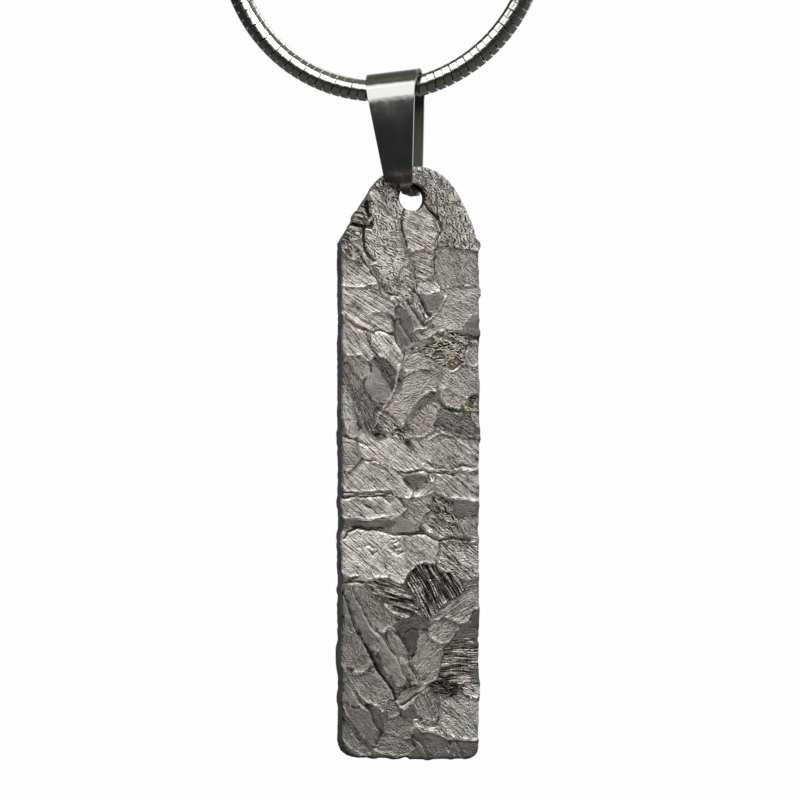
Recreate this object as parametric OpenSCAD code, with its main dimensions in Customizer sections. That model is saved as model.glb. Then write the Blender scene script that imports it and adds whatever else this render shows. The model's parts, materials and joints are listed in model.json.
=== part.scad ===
// Bar pendant on a snake chain: a flat iron bar with an arched head, a bent strip bail whose two prongs
// sit in the bar's hole, and the whole chain with its clasp at the nape.
// Millimetres, +Z up, +X to the viewer's right, +Y away from the viewer.
// The origin is under the middle of the clasp, where the necklace lies on the nape.

/* [Bar] */
// Length of the bar from the top of its head to its foot
bar_l = 42.7; // [32:0.1:60]
// Width of the bar between its long edges
bar_w = 10; // [8:0.1:14]
// Thickness of the bar
bar_t = 2; // [1.2:0.1:2.8]
// Radius of the round crown at the top of the head
crown_r = 3.5; // [2.4:0.1:4.2]
// Distance of the crown's middle from the bar's middle line, to the right
crown_side = 0.3; // [0:0.05:0.8]
// Angle from the vertical at which the crown runs into the head's flanks
crown_angle = 57; // [46:1:64]
// Angle that the left flank turns through on its way to the long edge
left_turn = 4; // [2:0.5:12]
// Angle that the right flank turns through on its way to the long edge
right_turn = 21; // [10:1:25]
// Radius of the foot's left corner
foot_left_r = 1.4; // [0.5:0.1:2.5]
// Radius of the foot's right corner
foot_right_r = 0.9; // [0.3:0.1:2.5]
// Turn of the bar about the vertical against the bail
bar_twist = 18; // [6:1:22]

/* [Hole] */
// Diameter of the hole in the bar's head
hole_d = 1.9; // [1.75:0.05:2.4]
// Depth of the hole's middle below the top of the head
hole_depth = 2.25; // [1.9:0.05:3.6]
// Distance of the hole's middle from the bar's middle line, to the right
hole_side = 0.2; // [0:0.05:0.6]

/* [Bail] */
// Height from the chain's middle down to the middle of the prongs
bail_drop = 7.52; // [6.6:0.02:11]
// Width of the strip over the chain
bail_top_w = 3.85; // [3:0.05:4.8]
// Width of the strip at the foot of its legs
bail_foot_w = 2; // [1.4:0.05:2.8]
// Thickness of the strip
strip_t = 0.28; // [0.2:0.02:0.4]
// Height of the tabs that lead from the legs down to the middle of the prongs
tab_h = 0.77; // [0.6:0.01:1.1]
// Width of the tabs below the legs
tab_w = 0.9; // [0.7:0.05:1.3]
// Distance of the tabs' middle from the legs' middle, to the right
tab_side = 0.5; // [0:0.05:0.55]
// Width of the prongs inside the hole
prong_w = 0.64; // [0.5:0.02:0.72]
// Distance of the prongs' middle from the legs' middle, to the right
prong_side = 0.2; // [0:0.05:0.4]
// Distance between the tips of the two prongs
prong_gap = 0.4; // [0.2:0.05:1]
// Inside radius of the bends from the tabs to the prongs
bend_r = 0.2; // [0.1:0.02:0.3]

/* [Chain] */
// Diameter of the chain
chain_d = 1.55; // [1.1:0.05:2]
// Length of the whole necklace along its middle, with the clasp
necklace_l = 450; // [400:5:600]
// Radius of the curve in which the chain carries the bail
droop_r = 11.4; // [9:0.1:16]
// Angle from the level at which the strands leave that curve
droop_angle = 65; // [50:1:74]
// Distance of the bail from the lowest point of the chain, to the right
hang_x = 1.15; // [0:0.05:1.5]

/* [Clasp] */
// Diameter of the barrel clasp
clasp_d = 3; // [2.7:0.1:4.5]
// Length of the barrel clasp
clasp_l = 12; // [9:0.5:18]
// Depth of the sockets that hold the chain's ends
socket_l = 2.5; // [1.5:0.1:3.5]
// Width of the slanted rims at the clasp's ends
clasp_rim = 0.3; // [0.1:0.05:0.4]
// Width of the groove where the clasp's halves meet
seam_w = 0.3; // [0.2:0.05:0.6]
// Depth of that groove
seam_depth = 0.15; // [0.1:0.05:0.3]
// Length of straight chain at either side of the clasp
clasp_lead = 1; // [0.5:0.5:4]

/* [Clearances] */
// Room between the top of the chain and the inside edges of the bail
bail_clear = 0.14; // [0.1:0.02:0.3]
// Room between the bar's faces and the bail's legs when the bar swings flat
face_clear = 0.1; // [0.06:0.02:0.3]
// Room between the prongs' corners and the wall of the hole
prong_clear = 0.07; // [0.04:0.01:0.12]
// Room around the chain in the clasp's sockets
socket_clear = 0.08; // [0.04:0.01:0.15]

/* [Hidden] */
$fn = 96;
// How far a cutter reaches past what it cuts
cut_over = 1;

// The neck's curve: its radius is what gives the loop the necklace's whole length
top_run = clasp_l + 2 * clasp_lead;
droop_rad = droop_angle * PI / 180;
neck_r = (necklace_l - 2 * droop_rad * droop_r - top_run / cos(droop_angle) - top_run
    + 2 * droop_r * tan(droop_angle)) / (2 * tan(droop_angle) + 2 * (PI - droop_rad));
side_l = (top_run / 2 + (neck_r - droop_r) * sin(droop_angle)) / cos(droop_angle);
chain_top_z = clasp_d / 2;
neck_z = chain_top_z - neck_r;
droop_z = neck_z - (neck_r - droop_r) * cos(droop_angle) - side_l * sin(droop_angle);

// Where the bail hangs, and the slope of the chain there
hang_slope = asin(hang_x / droop_r);
hang_z = droop_z - droop_r * cos(hang_slope);

// The prongs' corners at the mouths of the hole set how far the bar hangs below the prongs
prong_reach = prong_w / 2 / cos(bar_twist) + bar_t / 2 * tan(bar_twist);
prong_top = strip_t / 2 * cos(hang_slope) + prong_w / 2 * sin(hang_slope);
hole_drop = sqrt(pow(hole_d / 2 - prong_clear, 2) - pow(prong_reach, 2)) - prong_top;
hole_x = hang_x + bail_drop * sin(hang_slope) + prong_side * cos(hang_slope);
hole_z = hang_z - bail_drop * cos(hang_slope) + prong_side * sin(hang_slope) - hole_drop;

// The bail stands clear of the chain, and of the twisted bar with its side swung up between the legs
chain_rise = pow(bail_top_w / 2, 2) / (2 * droop_r);
bail_in_top = chain_d / 2 + chain_rise + bail_clear;
leg_drop = bail_drop - tab_h;
tab_foot = -bail_drop + strip_t / 2 + bend_r;
leg_taper = (bail_top_w - bail_foot_w) / 2 / (leg_drop + bail_in_top + strip_t);
swing_rise = bar_w / 2 + hole_side - hole_drop;
swing_side = bail_foot_w / 2 + prong_side + leg_taper * (swing_rise - tab_h) + swing_rise * tan(hang_slope);
bar_gap = 2 * (bar_t / 2 + face_clear + swing_side * sin(bar_twist)) / cos(bar_twist);
bail_gap = max(bar_gap, chain_d + 4 * bail_clear);
arch_z = bail_in_top - bail_gap / 2;

// The head's flanks are arcs that leave the crown along its tangent and turn a little to the long edges
function flank_r(half_w, turn) =
    (half_w - crown_r * sin(crown_angle)) / (sin(crown_angle + turn) - sin(crown_angle));
function flank_h(r, turn) =
    crown_r + (r - crown_r) * cos(crown_angle) - r * cos(crown_angle + turn);
left_r = flank_r(bar_w / 2 + crown_side, left_turn);
right_r = flank_r(bar_w / 2 - crown_side, right_turn);
head_h = max(flank_h(left_r, left_turn), flank_h(right_r, right_turn));

// Rings of the chain's tube: sides of a ring, degrees between rings, and rings along a straight side
ring_sides = 8;
neck_step = 5;
droop_step = 10;
side_rings = 5;

// A square corner less its fillet, to cut a round corner of radius r at the origin
module corner_cut(r) {
    difference() {
        translate([-cut_over, -cut_over]) square(r + cut_over);
        translate([r, r]) circle(r);
    }
}

// The circle of one flank, tangent to the crown inside it
module flank(r, side) {
    translate([crown_side - side * (r - crown_r) * sin(crown_angle), -crown_r - (r - crown_r) * cos(crown_angle)])
        circle(r, $fn = 4 * $fn);
}

// Outline of the bar's head below the top of the crown: two flanks under a round crown
module head_outline() {
    intersection() {
        flank(left_r, -1);
        flank(right_r, 1);
        union() {
            translate([crown_side, -crown_r]) circle(crown_r);
            translate([-bar_w, -2 * head_h])
                square([2 * bar_w, 2 * head_h - crown_r * (1 - cos(crown_angle))]);
        }
        translate([-bar_w / 2, -head_h - hole_d / 4]) square([bar_w, 2 * head_h]);
    }
}

module bar_outline() {
    difference() {
        union() {
            head_outline();
            translate([-bar_w / 2, -bar_l]) square([bar_w, bar_l - head_h]);
        }
        translate([-bar_w / 2, -bar_l]) corner_cut(foot_left_r);
        translate([bar_w / 2, -bar_l]) mirror([1, 0]) corner_cut(foot_right_r);
    }
}

// Hangs with its hole's wall on the prongs, turned a little against the bail
module bar() {
    color("dimgray") translate([hole_x, 0, hole_z]) rotate([0, 0, bar_twist]) difference() {
        translate([-hole_side, bar_t / 2, hole_depth]) rotate([90, 0, 0]) linear_extrude(bar_t) bar_outline();
        rotate([90, 0, 0]) cylinder(d = hole_d, h = bar_t + 2 * cut_over, center = true);
    }
}

// Half of the strip's side view, from the top of the arch down one leg and in along its prong
module bail_half_profile() {
    leg_in = bail_gap / 2;
    bend_z = tab_foot;
    difference() {
        translate([0, arch_z]) circle(leg_in + strip_t);
        translate([0, arch_z]) circle(leg_in);
        translate([-bail_gap, arch_z - 2 * bail_gap]) square([2 * bail_gap, 2 * bail_gap]);
        translate([-2 * bail_gap, arch_z - bail_gap]) square([2 * bail_gap, 2 * bail_gap]);
    }
    translate([leg_in, bend_z]) square([strip_t, arch_z - bend_z]);
    difference() {
        translate([leg_in - bend_r, bend_z]) circle(bend_r + strip_t);
        translate([leg_in - bend_r, bend_z]) circle(bend_r);
        translate([leg_in - 2 * bail_gap, bend_z]) square(4 * bail_gap);
        translate([leg_in - bend_r - bail_gap, bend_z - bail_gap]) square([bail_gap, 2 * bail_gap]);
    }
    translate([prong_gap / 2, -bail_drop - strip_t / 2])
        square([leg_in - bend_r - prong_gap / 2, strip_t]);
}

// One edge of the strip's front view: a leg that narrows to its foot, then the tab and the prong
function bail_edge(side) = [
    [side * bail_top_w / 2, bail_in_top + strip_t + cut_over],
    [side * bail_top_w / 2, bail_in_top + strip_t],
    [side * bail_foot_w / 2, -leg_drop],
    [tab_side + side * tab_w / 2, -leg_drop],
    [tab_side + side * tab_w / 2, tab_foot],
    [prong_side + side * prong_w / 2, tab_foot],
    [prong_side + side * prong_w / 2, -bail_drop - cut_over],
];

module bail_front() {
    right = bail_edge(1);
    left = bail_edge(-1);
    polygon(concat(right, [for (i = [len(left) - 1:-1:0]) left[i]]));
}

// A tapered strip bent over the chain, square to the chain where it hangs
module bail() {
    color("silver") translate([hang_x, 0, hang_z]) rotate([0, -hang_slope, 0]) intersection() {
        rotate([90, 0, 90]) linear_extrude(2 * bail_top_w, center = true) {
            bail_half_profile();
            mirror([1, 0]) bail_half_profile();
        }
        rotate([90, 0, 0]) linear_extrude(2 * bail_gap, center = true) bail_front();
    }
}

// A station of the chain's middle line on an arc: [x, z, direction], by the angle run from the lowest point
function on_arc(x, z, r, a) = [x + r * sin(a), z - r * cos(a), a];

// Stations up the right strand, from the lowest curve's first ring to the right of the middle
function right_stations() = concat(
    [for (a = [droop_step / 2:droop_step:droop_angle - droop_step / 2]) on_arc(0, droop_z, droop_r, a)],
    [for (i = [0:side_rings]) let (s = i / side_rings) [
        droop_r * sin(droop_angle) + s * side_l * cos(droop_angle),
        droop_z - droop_r * cos(droop_angle) + s * side_l * sin(droop_angle),
        droop_angle
    ]],
    [for (a = [droop_angle + neck_step:neck_step:180 - neck_step / 2])
        on_arc(top_run / 2, neck_z, neck_r, a)],
    [[top_run / 2, chain_top_z, 180], [clasp_l / 2 - socket_l, chain_top_z, 180]]
);

// The same strand on the left, run the other way
function left_stations(right) = [for (i = [len(right) - 1:-1:0]) [-right[i][0], right[i][1], -right[i][2]]];

// One ring of the tube, square to the chain's direction at a station
function ring(station) = [for (k = [0:ring_sides - 1])
    let (
        turn = (k + 0.5) * 360 / ring_sides,
        out = chain_d / 2 * cos(turn),
        side = chain_d / 2 * sin(turn)
    ) [station[0] + out * sin(station[2]), side, station[1] - out * cos(station[2])]
];

// The whole snake chain as one round tube whose ends stand in the clasp
module chain() {
    right = right_stations();
    stations = concat(left_stations(right), right);
    last = len(stations) - 1;
    points = [for (s = stations) each ring(s)];
    walls = [for (i = [0:last - 1], k = [0:ring_sides - 1])
        let (j = (k + 1) % ring_sides)
        [i * ring_sides + k, i * ring_sides + j, (i + 1) * ring_sides + j, (i + 1) * ring_sides + k]
    ];
    first_end = [for (k = [ring_sides - 1:-1:0]) k];
    last_end = [for (k = [0:ring_sides - 1]) last * ring_sides + k];
    color("lightgray") polyhedron(points, concat(walls, [first_end, last_end]), convexity = 6);
}

// A plain barrel: slanted rims, a seam round the middle and a socket at each end for the chain
module clasp() {
    body_l = clasp_l - 2 * clasp_rim;
    color("silver") translate([0, 0, chain_top_z]) rotate([0, 90, 0]) difference() {
        union() {
            cylinder(d = clasp_d, h = body_l, center = true);
            for (s = [0, 1]) mirror([0, 0, s]) translate([0, 0, body_l / 2])
                cylinder(d1 = clasp_d, d2 = clasp_d - 2 * clasp_rim, h = clasp_rim);
        }
        for (s = [0, 1]) mirror([0, 0, s]) translate([0, 0, clasp_l / 2 - socket_l])
            cylinder(d = chain_d + 2 * socket_clear, h = socket_l + cut_over);
        difference() {
            cylinder(d = clasp_d + 2 * cut_over, h = seam_w, center = true);
            cylinder(d = clasp_d - 2 * seam_depth, h = seam_w + cut_over, center = true);
        }
    }
}

bar();
bail();
chain();
clasp();
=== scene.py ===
"""Dresses the bar pendant: an etched iron bar, its strip bail, a round snake chain and a barrel clasp.

Metres, +Z up, +X to the viewer's right, +Y away from the viewer, with the origin on the nape.
"""

import json
import logging
import math
from dataclasses import dataclass
from enum import Enum
from typing import Any, NamedTuple

import bmesh
import bpy
import numpy as np
from mathutils import Matrix, Vector


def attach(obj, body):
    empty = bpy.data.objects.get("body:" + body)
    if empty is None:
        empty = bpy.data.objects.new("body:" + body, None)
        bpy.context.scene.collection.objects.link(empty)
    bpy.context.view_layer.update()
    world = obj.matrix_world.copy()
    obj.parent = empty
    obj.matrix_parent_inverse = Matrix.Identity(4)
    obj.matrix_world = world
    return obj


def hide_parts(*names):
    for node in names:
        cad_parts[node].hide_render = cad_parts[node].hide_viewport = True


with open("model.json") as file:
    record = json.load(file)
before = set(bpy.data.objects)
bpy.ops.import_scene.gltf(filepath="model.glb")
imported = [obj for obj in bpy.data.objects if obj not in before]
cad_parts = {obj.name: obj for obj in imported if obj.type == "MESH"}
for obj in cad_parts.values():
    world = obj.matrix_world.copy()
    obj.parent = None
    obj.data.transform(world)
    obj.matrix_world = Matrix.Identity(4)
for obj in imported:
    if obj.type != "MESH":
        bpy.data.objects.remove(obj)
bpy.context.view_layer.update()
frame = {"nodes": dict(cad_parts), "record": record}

log = logging.getLogger("bar_pendant")

MM = 0.001
TINY = 1e-9
MERGE = 0.0001 * MM


def linear(hex_colour: str) -> tuple[float, float, float, float]:
    """Turns an sRGB hex colour into linear red, green, blue and alpha.

    Args:
        hex_colour: a colour such as "#8C8A86".

    Returns:
        Four linear values, with an alpha of 1.
    """
    channels = [int(hex_colour[i:i + 2], 16) / 255 for i in (1, 3, 5)]
    flat = [c / 12.92 if c <= 0.04045 else ((c + 0.055) / 1.055) ** 2.4 for c in channels]
    return (*flat, 1.0)


def add_node(tree: bpy.types.NodeTree, kind: str, inputs: dict[Any, Any] | None = None,
             **settings: Any) -> bpy.types.Node:
    """Adds one node with its settings, values and links.

    Args:
        tree: the node tree that gets the node.
        kind: the node's type name.
        inputs: a socket to link, or a plain value, for each input's name or number.
        settings: the node's own properties.

    Returns:
        The new node.
    """
    node = tree.nodes.new(kind)
    for name, value in settings.items():
        setattr(node, name, value)
    for key, value in (inputs or {}).items():
        if isinstance(value, bpy.types.NodeSocket):
            tree.links.new(value, node.inputs[key])
        else:
            node.inputs[key].default_value = value
    return node


def new_material(name: str) -> tuple[bpy.types.Material, bpy.types.NodeTree, bpy.types.Node]:
    """Makes a material with a bare principled shader.

    Args:
        name: the material's name.

    Returns:
        The material, its node tree and its shader node.
    """
    material = bpy.data.materials.new(name)
    material.use_nodes = True
    tree = material.node_tree
    return material, tree, tree.nodes["Principled BSDF"]


def finish_piece(name: str, shape: bmesh.types.BMesh, material: bpy.types.Material,
                 smooth_angle: float = 40.0) -> bpy.types.Object:
    """Turns a bmesh into a shaded piece at the origin.

    Args:
        name: the piece's name.
        shape: its geometry, which is freed.
        material: its finish.
        smooth_angle: edges sharper than this, in degrees, stay crisp.

    Returns:
        The new object.
    """
    mesh = bpy.data.meshes.new(name)
    shape.to_mesh(mesh)
    shape.free()
    mesh.shade_smooth()
    mesh.set_sharp_from_angle(angle=math.radians(smooth_angle))
    mesh.materials.append(material)
    piece = bpy.data.objects.new(name, mesh)
    bpy.context.scene.collection.objects.link(piece)
    return piece


def report(piece: bpy.types.Object) -> None:
    """Logs a finished piece with its number of faces."""
    log.info("%s: %d faces", piece.name, len(piece.data.polygons))


def joint_place(name: str) -> tuple[Vector, Vector]:
    """Finds a joint in the frame.

    Args:
        name: the joint's name.

    Returns:
        Its position in metres and its unit axis.
    """
    joint = next(j for j in frame["record"]["behaviour"]["joints"] if j["name"] == name)
    return Vector(joint["pos_m"]), Vector(joint["axis"]).normalized()


def local_box(node: str, place: Matrix) -> tuple[Vector, Vector]:
    """Measures a CAD node in a piece's own frame.

    Args:
        node: the node's name.
        place: the matrix from the piece's own frame to the row frame.

    Returns:
        The lowest and highest corners in metres.
    """
    back = place.inverted()
    corners = [back @ vert.co for vert in frame["nodes"][node].data.vertices]
    low, high = (Vector(pick(c[i] for c in corners) for i in range(3)) for pick in (min, max))
    return low, high


def turned_to(x_axis: Vector, y_axis: Vector, z_axis: Vector, at: Vector) -> Matrix:
    """Makes the matrix that moves a piece from its own frame to its place.

    Args:
        x_axis: where the piece's X axis points.
        y_axis: where its Y axis points.
        z_axis: where its Z axis points.
        at: where its origin goes.

    Returns:
        The matrix to the row frame.
    """
    return Matrix.Translation(at) @ Matrix((x_axis, y_axis, z_axis)).transposed().to_4x4()


def grow_row(shape: bmesh.types.BMesh, edges: list[bmesh.types.BMEdge]) -> tuple[
        list[bmesh.types.BMVert], list[bmesh.types.BMEdge]]:
    """Extrudes a row of edges on the spot.

    Args:
        shape: the geometry.
        edges: the row that is extruded.

    Returns:
        The new row's vertices and edges, without the edges that join it to the old row.
    """
    grown = bmesh.ops.extrude_edge_only(shape, edges=edges)["geom"]
    row = [g for g in grown if isinstance(g, bmesh.types.BMVert)]
    return row, [g for g in grown if isinstance(g, bmesh.types.BMEdge) and all(v in row for v in g.verts)]


def break_edges(shape: bmesh.types.BMesh, angle: float, width: float, segments: int) -> None:
    """Bevels a piece's sharp edges.

    Args:
        shape: the geometry, with its faces pointing outwards.
        angle: edges sharper than this, in degrees, are bevelled.
        width: the bevel's offset in metres.
        segments: the number of faces across it.
    """
    sharp = [e for e in shape.edges if e.is_manifold and e.calc_face_angle() > math.radians(angle)]
    bmesh.ops.bevel(shape, geom=sharp, offset=width, offset_type="OFFSET", segments=segments, profile=0.5,
                    affect="EDGES", clamp_overlap=True, material=-1)


def vertex_places(mesh: bpy.types.Mesh) -> np.ndarray:
    """Reads a mesh's vertices.

    Args:
        mesh: the mesh.

    Returns:
        One row for each vertex, in millimetres.
    """
    places = np.empty(len(mesh.vertices) * 3)
    mesh.vertices.foreach_get("co", places)
    return places.reshape(-1, 3) / MM


def ease(low: float, high: float, values: np.ndarray) -> np.ndarray:
    """Rises smoothly from 0 at low to 1 at high."""
    t = np.clip((values - low) / (high - low), 0.0, 1.0)
    return t * t * (3.0 - 2.0 * t)


def blotches(x: np.ndarray, depth: np.ndarray, size: float, seed: int) -> np.ndarray:
    """Works out smooth random blotches.

    Args:
        x: places across, in millimetres.
        depth: places down, in millimetres.
        size: width of a blotch in millimetres.
        seed: picks the pattern.

    Returns:
        A value from -1 to 1 at each place.
    """
    wrap = 256
    lattice = np.random.default_rng(seed).uniform(-1.0, 1.0, (wrap, wrap))
    # Each pattern is turned by its own angle in radians, so that no two grids line up
    turn = 0.7 * seed
    u = (x * math.cos(turn) + depth * math.sin(turn)) / size
    v = (depth * math.cos(turn) - x * math.sin(turn)) / size
    column = np.floor(u).astype(int)
    row = np.floor(v).astype(int)
    fu = ease(0.0, 1.0, u - column)
    fv = ease(0.0, 1.0, v - row)
    near = lattice[row % wrap, column % wrap] * (1 - fu) + lattice[row % wrap, (column + 1) % wrap] * fu
    below = (row + 1) % wrap
    far = lattice[below, column % wrap] * (1 - fu) + lattice[below, (column + 1) % wrap] * fu
    return near * (1 - fv) + far * fv


@dataclass(frozen=True)
class EtchedIron:
    """Nickel iron from a meteorite, sawn, ground and etched in acid. Patterns' sizes are in millimetres.

    The acid leaves light hatched plates with crisp rims, smooth darker fields that stand proud, and dark
    grooves, so that each plate catches the light in its own way. The glints and shadows along the rims, the
    shade in the grooves, the highlights on their flanks and the shade beside each winding ridge are painted
    into the colour.
    """

    # The hatching is about 0.05 mm on the real bar and is drawn over twice as coarse, so that it shows
    hatch_pitch: float = 0.11
    weave_ratio: float = 1.3
    weave_stretch: tuple[float, float, float] = (16, 0.15, 1)
    worm_size: float = 0.34
    worm_stretch: tuple[float, float, float] = (9, 1, 1)
    worm_rings: float = 2.2
    shade_shift: float = -0.1
    grit_size: float = 0.1
    flow_size: float = 0.5
    hue_size: float = 1.1
    # How much each mark lightens and darkens the metal
    hatch_depth: float = 0.44
    weave_depth: float = 0.14
    worm_depth: float = 0.42
    # How strongly the painted light and shade beside the winding ridges show
    painted_relief_depth: float = 0.36
    grit_depth: float = 1.1
    sawn_roughness: float = 0.33
    bump_strength: float = 0.8
    bump_height: float = 0.03
    bare: str = "#DAD7D0"
    rosy: str = "#DBD1CB"
    bronze: str = "#AFA176"

    def material(self) -> bpy.types.Material:
        """Builds the finish, which reads the bar's own etch, grain and seam attributes.

        Returns:
            The material.
        """
        material, tree, shader = new_material("etched_meteorite_iron")
        etch, grain, seams = (add_node(tree, "ShaderNodeAttribute", attribute_name=name)
                              for name in ("etch", "grain", "seams"))
        parts = add_node(tree, "ShaderNodeSeparateColor", {"Color": etch.outputs["Color"]})
        tone, hatch_share, pit_share = (parts.outputs[i] for i in range(3))
        reach = add_node(tree, "ShaderNodeSeparateXYZ", {0: seams.outputs["Vector"]})
        place = add_node(tree, "ShaderNodeTexCoord")
        hatch = add_node(tree, "ShaderNodeTexNoise", {
            "Vector": grain.outputs["Vector"], "Scale": 1 / self.hatch_pitch, "Detail": 2.0,
            "Roughness": 0.6})
        turned = add_node(tree, "ShaderNodeMapping", {
            "Vector": grain.outputs["Vector"], "Scale": self.weave_stretch})
        weave = add_node(tree, "ShaderNodeTexNoise", {
            "Vector": turned.outputs[0], "Scale": 1 / (self.weave_ratio * self.hatch_pitch), "Detail": 1.0})
        flow, grit, hue = (add_node(tree, "ShaderNodeTexNoise", {
            "Vector": place.outputs["Object"], "Scale": 1 / (size * MM), "Detail": detail})
            for size, detail in ((self.flow_size, 1.5), (self.grit_size, 3.0), (self.hue_size, 2.0)))
        # Each row: what is read, the range that is read, what it turns into, and whether its ends are soft
        lines, ties, thread, broken, warm, rough, sawn, glance = (add_node(tree, "ShaderNodeMapRange", {
            "Value": value, "From Min": low, "From Max": high, "To Min": at_low, "To Max": at_high},
            interpolation_type=rise).outputs[0] for value, low, high, at_low, at_high, rise in (
                (hatch.outputs["Fac"], 0.38, 0.52, -1.4, 0.6, "SMOOTHSTEP"),
                (weave.outputs["Fac"], 0.42, 0.58, -1.0, 1.0, "SMOOTHSTEP"),
                (hatch.outputs["Fac"], 0.55, 0.62, 0.0, 1.0, "SMOOTHSTEP"),
                (grit.outputs["Fac"], 0.38, 0.52, 0.0, 1.0, "LINEAR"),
                (hue.outputs["Fac"], 0.45, 0.65, 0.0, 1.0, "LINEAR"),
                (grit.outputs["Fac"], 0.3, 0.7, 0.4, 0.62, "LINEAR"),
                # The saw left the edges and the bore smoother, and their glancing reflection is dimmed,
                # painted shade that keeps them dark
                (reach.outputs["X"], 0.6, 0.9, 0.0, 1.0, "LINEAR"),
                (reach.outputs["X"], 0.6, 2.0, 1.0, 0.12, "LINEAR")))
        ridges = self.ridges(tree, grain.outputs["Vector"], 0.0)
        # The same ridges a hair further down are taken from them, which paints light and shade beside each
        # one into the colour as well as the bump
        shaded = self.ridges(tree, grain.outputs["Vector"], self.shade_shift)
        painted_relief_shade, speck = (add_node(tree, "ShaderNodeMath", {0: value, 1: less}, operation="SUBTRACT").outputs[0]
                        for value, less in ((ridges, shaded), (grit.outputs["Fac"], 0.5)))
        marks: Any = 0.0
        for pattern, share, depth in (
                (lines, hatch_share, self.hatch_depth), (ties, hatch_share, self.weave_depth),
                (ridges, pit_share, self.worm_depth), (painted_relief_shade, pit_share, self.painted_relief_depth),
                (speck, self.grit_depth, 1.0)):
            part = add_node(tree, "ShaderNodeMath", {0: pattern, 1: share}, operation="MULTIPLY")
            marks = add_node(tree, "ShaderNodeMath", {0: part.outputs[0], 1: depth, 2: marks},
                             operation="MULTIPLY_ADD").outputs[0]
        relief, light = self.rims(tree, marks, tone, flow.outputs["Color"], reach)
        # Striated plates carry bright threads on a dark ground, so theirs are added and not multiplied
        bright = hatch_share
        for operation, value in (("SUBTRACT", 1.0), ("MAXIMUM", 0.0), ("MULTIPLY", thread)):
            bright = add_node(tree, "ShaderNodeMath", {0: bright, 1: value}, operation=operation).outputs[0]
        light = add_node(tree, "ShaderNodeMath", {0: bright, 1: broken, 2: light},
                         operation="MULTIPLY_ADD", use_clamp=True).outputs[0]
        tint = linear(self.bare)
        for share, colour in ((warm, self.rosy), (etch.outputs["Alpha"], self.bronze)):
            tint = add_node(tree, "ShaderNodeMix", {"Factor": share, 6: tint, 7: linear(colour)},
                            data_type="RGBA").outputs[2]
        colour = add_node(tree, "ShaderNodeVectorMath", {0: tint, "Scale": light}, operation="SCALE")
        gloss = add_node(tree, "ShaderNodeMix", {"Factor": sawn, 2: rough, 3: self.sawn_roughness},
                         data_type="FLOAT")
        bump = add_node(tree, "ShaderNodeBump", {
            "Height": relief, "Strength": self.bump_strength, "Distance": self.bump_height * MM})
        for socket, key in ((colour.outputs[0], "Base Color"), (glance, "Specular Tint"),
                            (gloss.outputs[0], "Roughness"), (bump.outputs[0], "Normal")):
            tree.links.new(socket, shader.inputs[key])
        shader.inputs["Metallic"].default_value = 1.0
        return material

    def ridges(self, tree: bpy.types.NodeTree, grain: bpy.types.NodeSocket,
               shift: float) -> bpy.types.NodeSocket:
        """Draws the winding ridges that the acid leaves along a patch's grain.

        Args:
            tree: the material's nodes.
            grain: the place along and across the grain.
            shift: how far across the grain the pattern is moved, in millimetres.

        Returns:
            The ridges, from -0.6 to 1.2.
        """
        place = add_node(tree, "ShaderNodeMapping", {
            "Vector": grain, "Location": (0, shift, 0), "Scale": self.worm_stretch})
        worm = add_node(tree, "ShaderNodeTexNoise", {
            "Vector": place.outputs[0], "Scale": 1 / self.worm_size, "Detail": 1.0, "Distortion": 0.9})
        turn = add_node(tree, "ShaderNodeMath", {0: worm.outputs["Fac"], 1: 2 * math.pi * self.worm_rings},
                        operation="MULTIPLY")
        wave = add_node(tree, "ShaderNodeMath", {0: turn.outputs[0]}, operation="COSINE")
        return add_node(tree, "ShaderNodeMapRange", {
            "Value": wave.outputs[0], "From Min": -0.4, "From Max": 0.9, "To Min": -0.6, "To Max": 1.2},
            interpolation_type="SMOOTHSTEP").outputs[0]

    def rims(self, tree: bpy.types.NodeTree, marks: bpy.types.NodeSocket, tone: bpy.types.NodeSocket,
             flow: bpy.types.NodeSocket, reach: bpy.types.Node) -> tuple[bpy.types.NodeSocket,
                                                                        bpy.types.NodeSocket]:
        """Draws the plates' rims, the grooves and the bright lips from the distances to them, painting glints
        and shadows along the rims, shade in the grooves and highlights on their flanks.

        Args:
            tree: the material's nodes.
            marks: the marks inside the plates.
            tone: the plates' own lightness.
            flow: a slow noise colour that paints a rim with a glint in one place and a shadow in another.
            reach: the distances to the rims, grooves and lips in millimetres.

        Returns:
            The height for the bump, and the lightness of the metal with its painted light and shade.
        """
        slow = add_node(tree, "ShaderNodeSeparateColor", {"Color": flow})
        rim, side, groove, flank, lip = (add_node(tree, "ShaderNodeMapRange", {
            "Value": value, "From Min": low, "From Max": high, "To Min": at_low, "To Max": at_high},
            interpolation_type="SMOOTHSTEP").outputs[0] for value, low, high, at_low, at_high in (
                # A painted glint along the rims in one place and a painted shadow in another, as the slow
                # noise in the next row swings
                (reach.outputs["X"], 0.015, 0.08, 1.0, 0.0),
                (slow.outputs[1], 0.38, 0.6, -0.75, 0.7),
                # Painted shade on the grooves' floors, then painted highlights on their flanks
                (reach.outputs["Y"], -0.03, 0.04, 0.1, 1.0),
                (reach.outputs["Y"], 0.04, 0.12, 0.35, 0.0),
                (reach.outputs["Z"], -0.02, 0.05, 0.75, 0.0)))
        marked = add_node(tree, "ShaderNodeMath", {0: rim, 1: side, 2: marks},
                          operation="MULTIPLY_ADD").outputs[0]
        light = marked
        for operation, value in (("ADD", 1.0), ("ADD", flank), ("MAXIMUM", 0.1), ("MULTIPLY", tone),
                                 ("MULTIPLY", groove)):
            light = add_node(tree, "ShaderNodeMath", {0: light, 1: value}, operation=operation).outputs[0]
        light = add_node(tree, "ShaderNodeMix", {"Factor": lip, 2: light, 3: 0.95}, data_type="FLOAT")
        raised = marked
        for value in (groove, lip):
            raised = add_node(tree, "ShaderNodeMath", {0: raised, 1: value}, operation="ADD").outputs[0]
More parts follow.
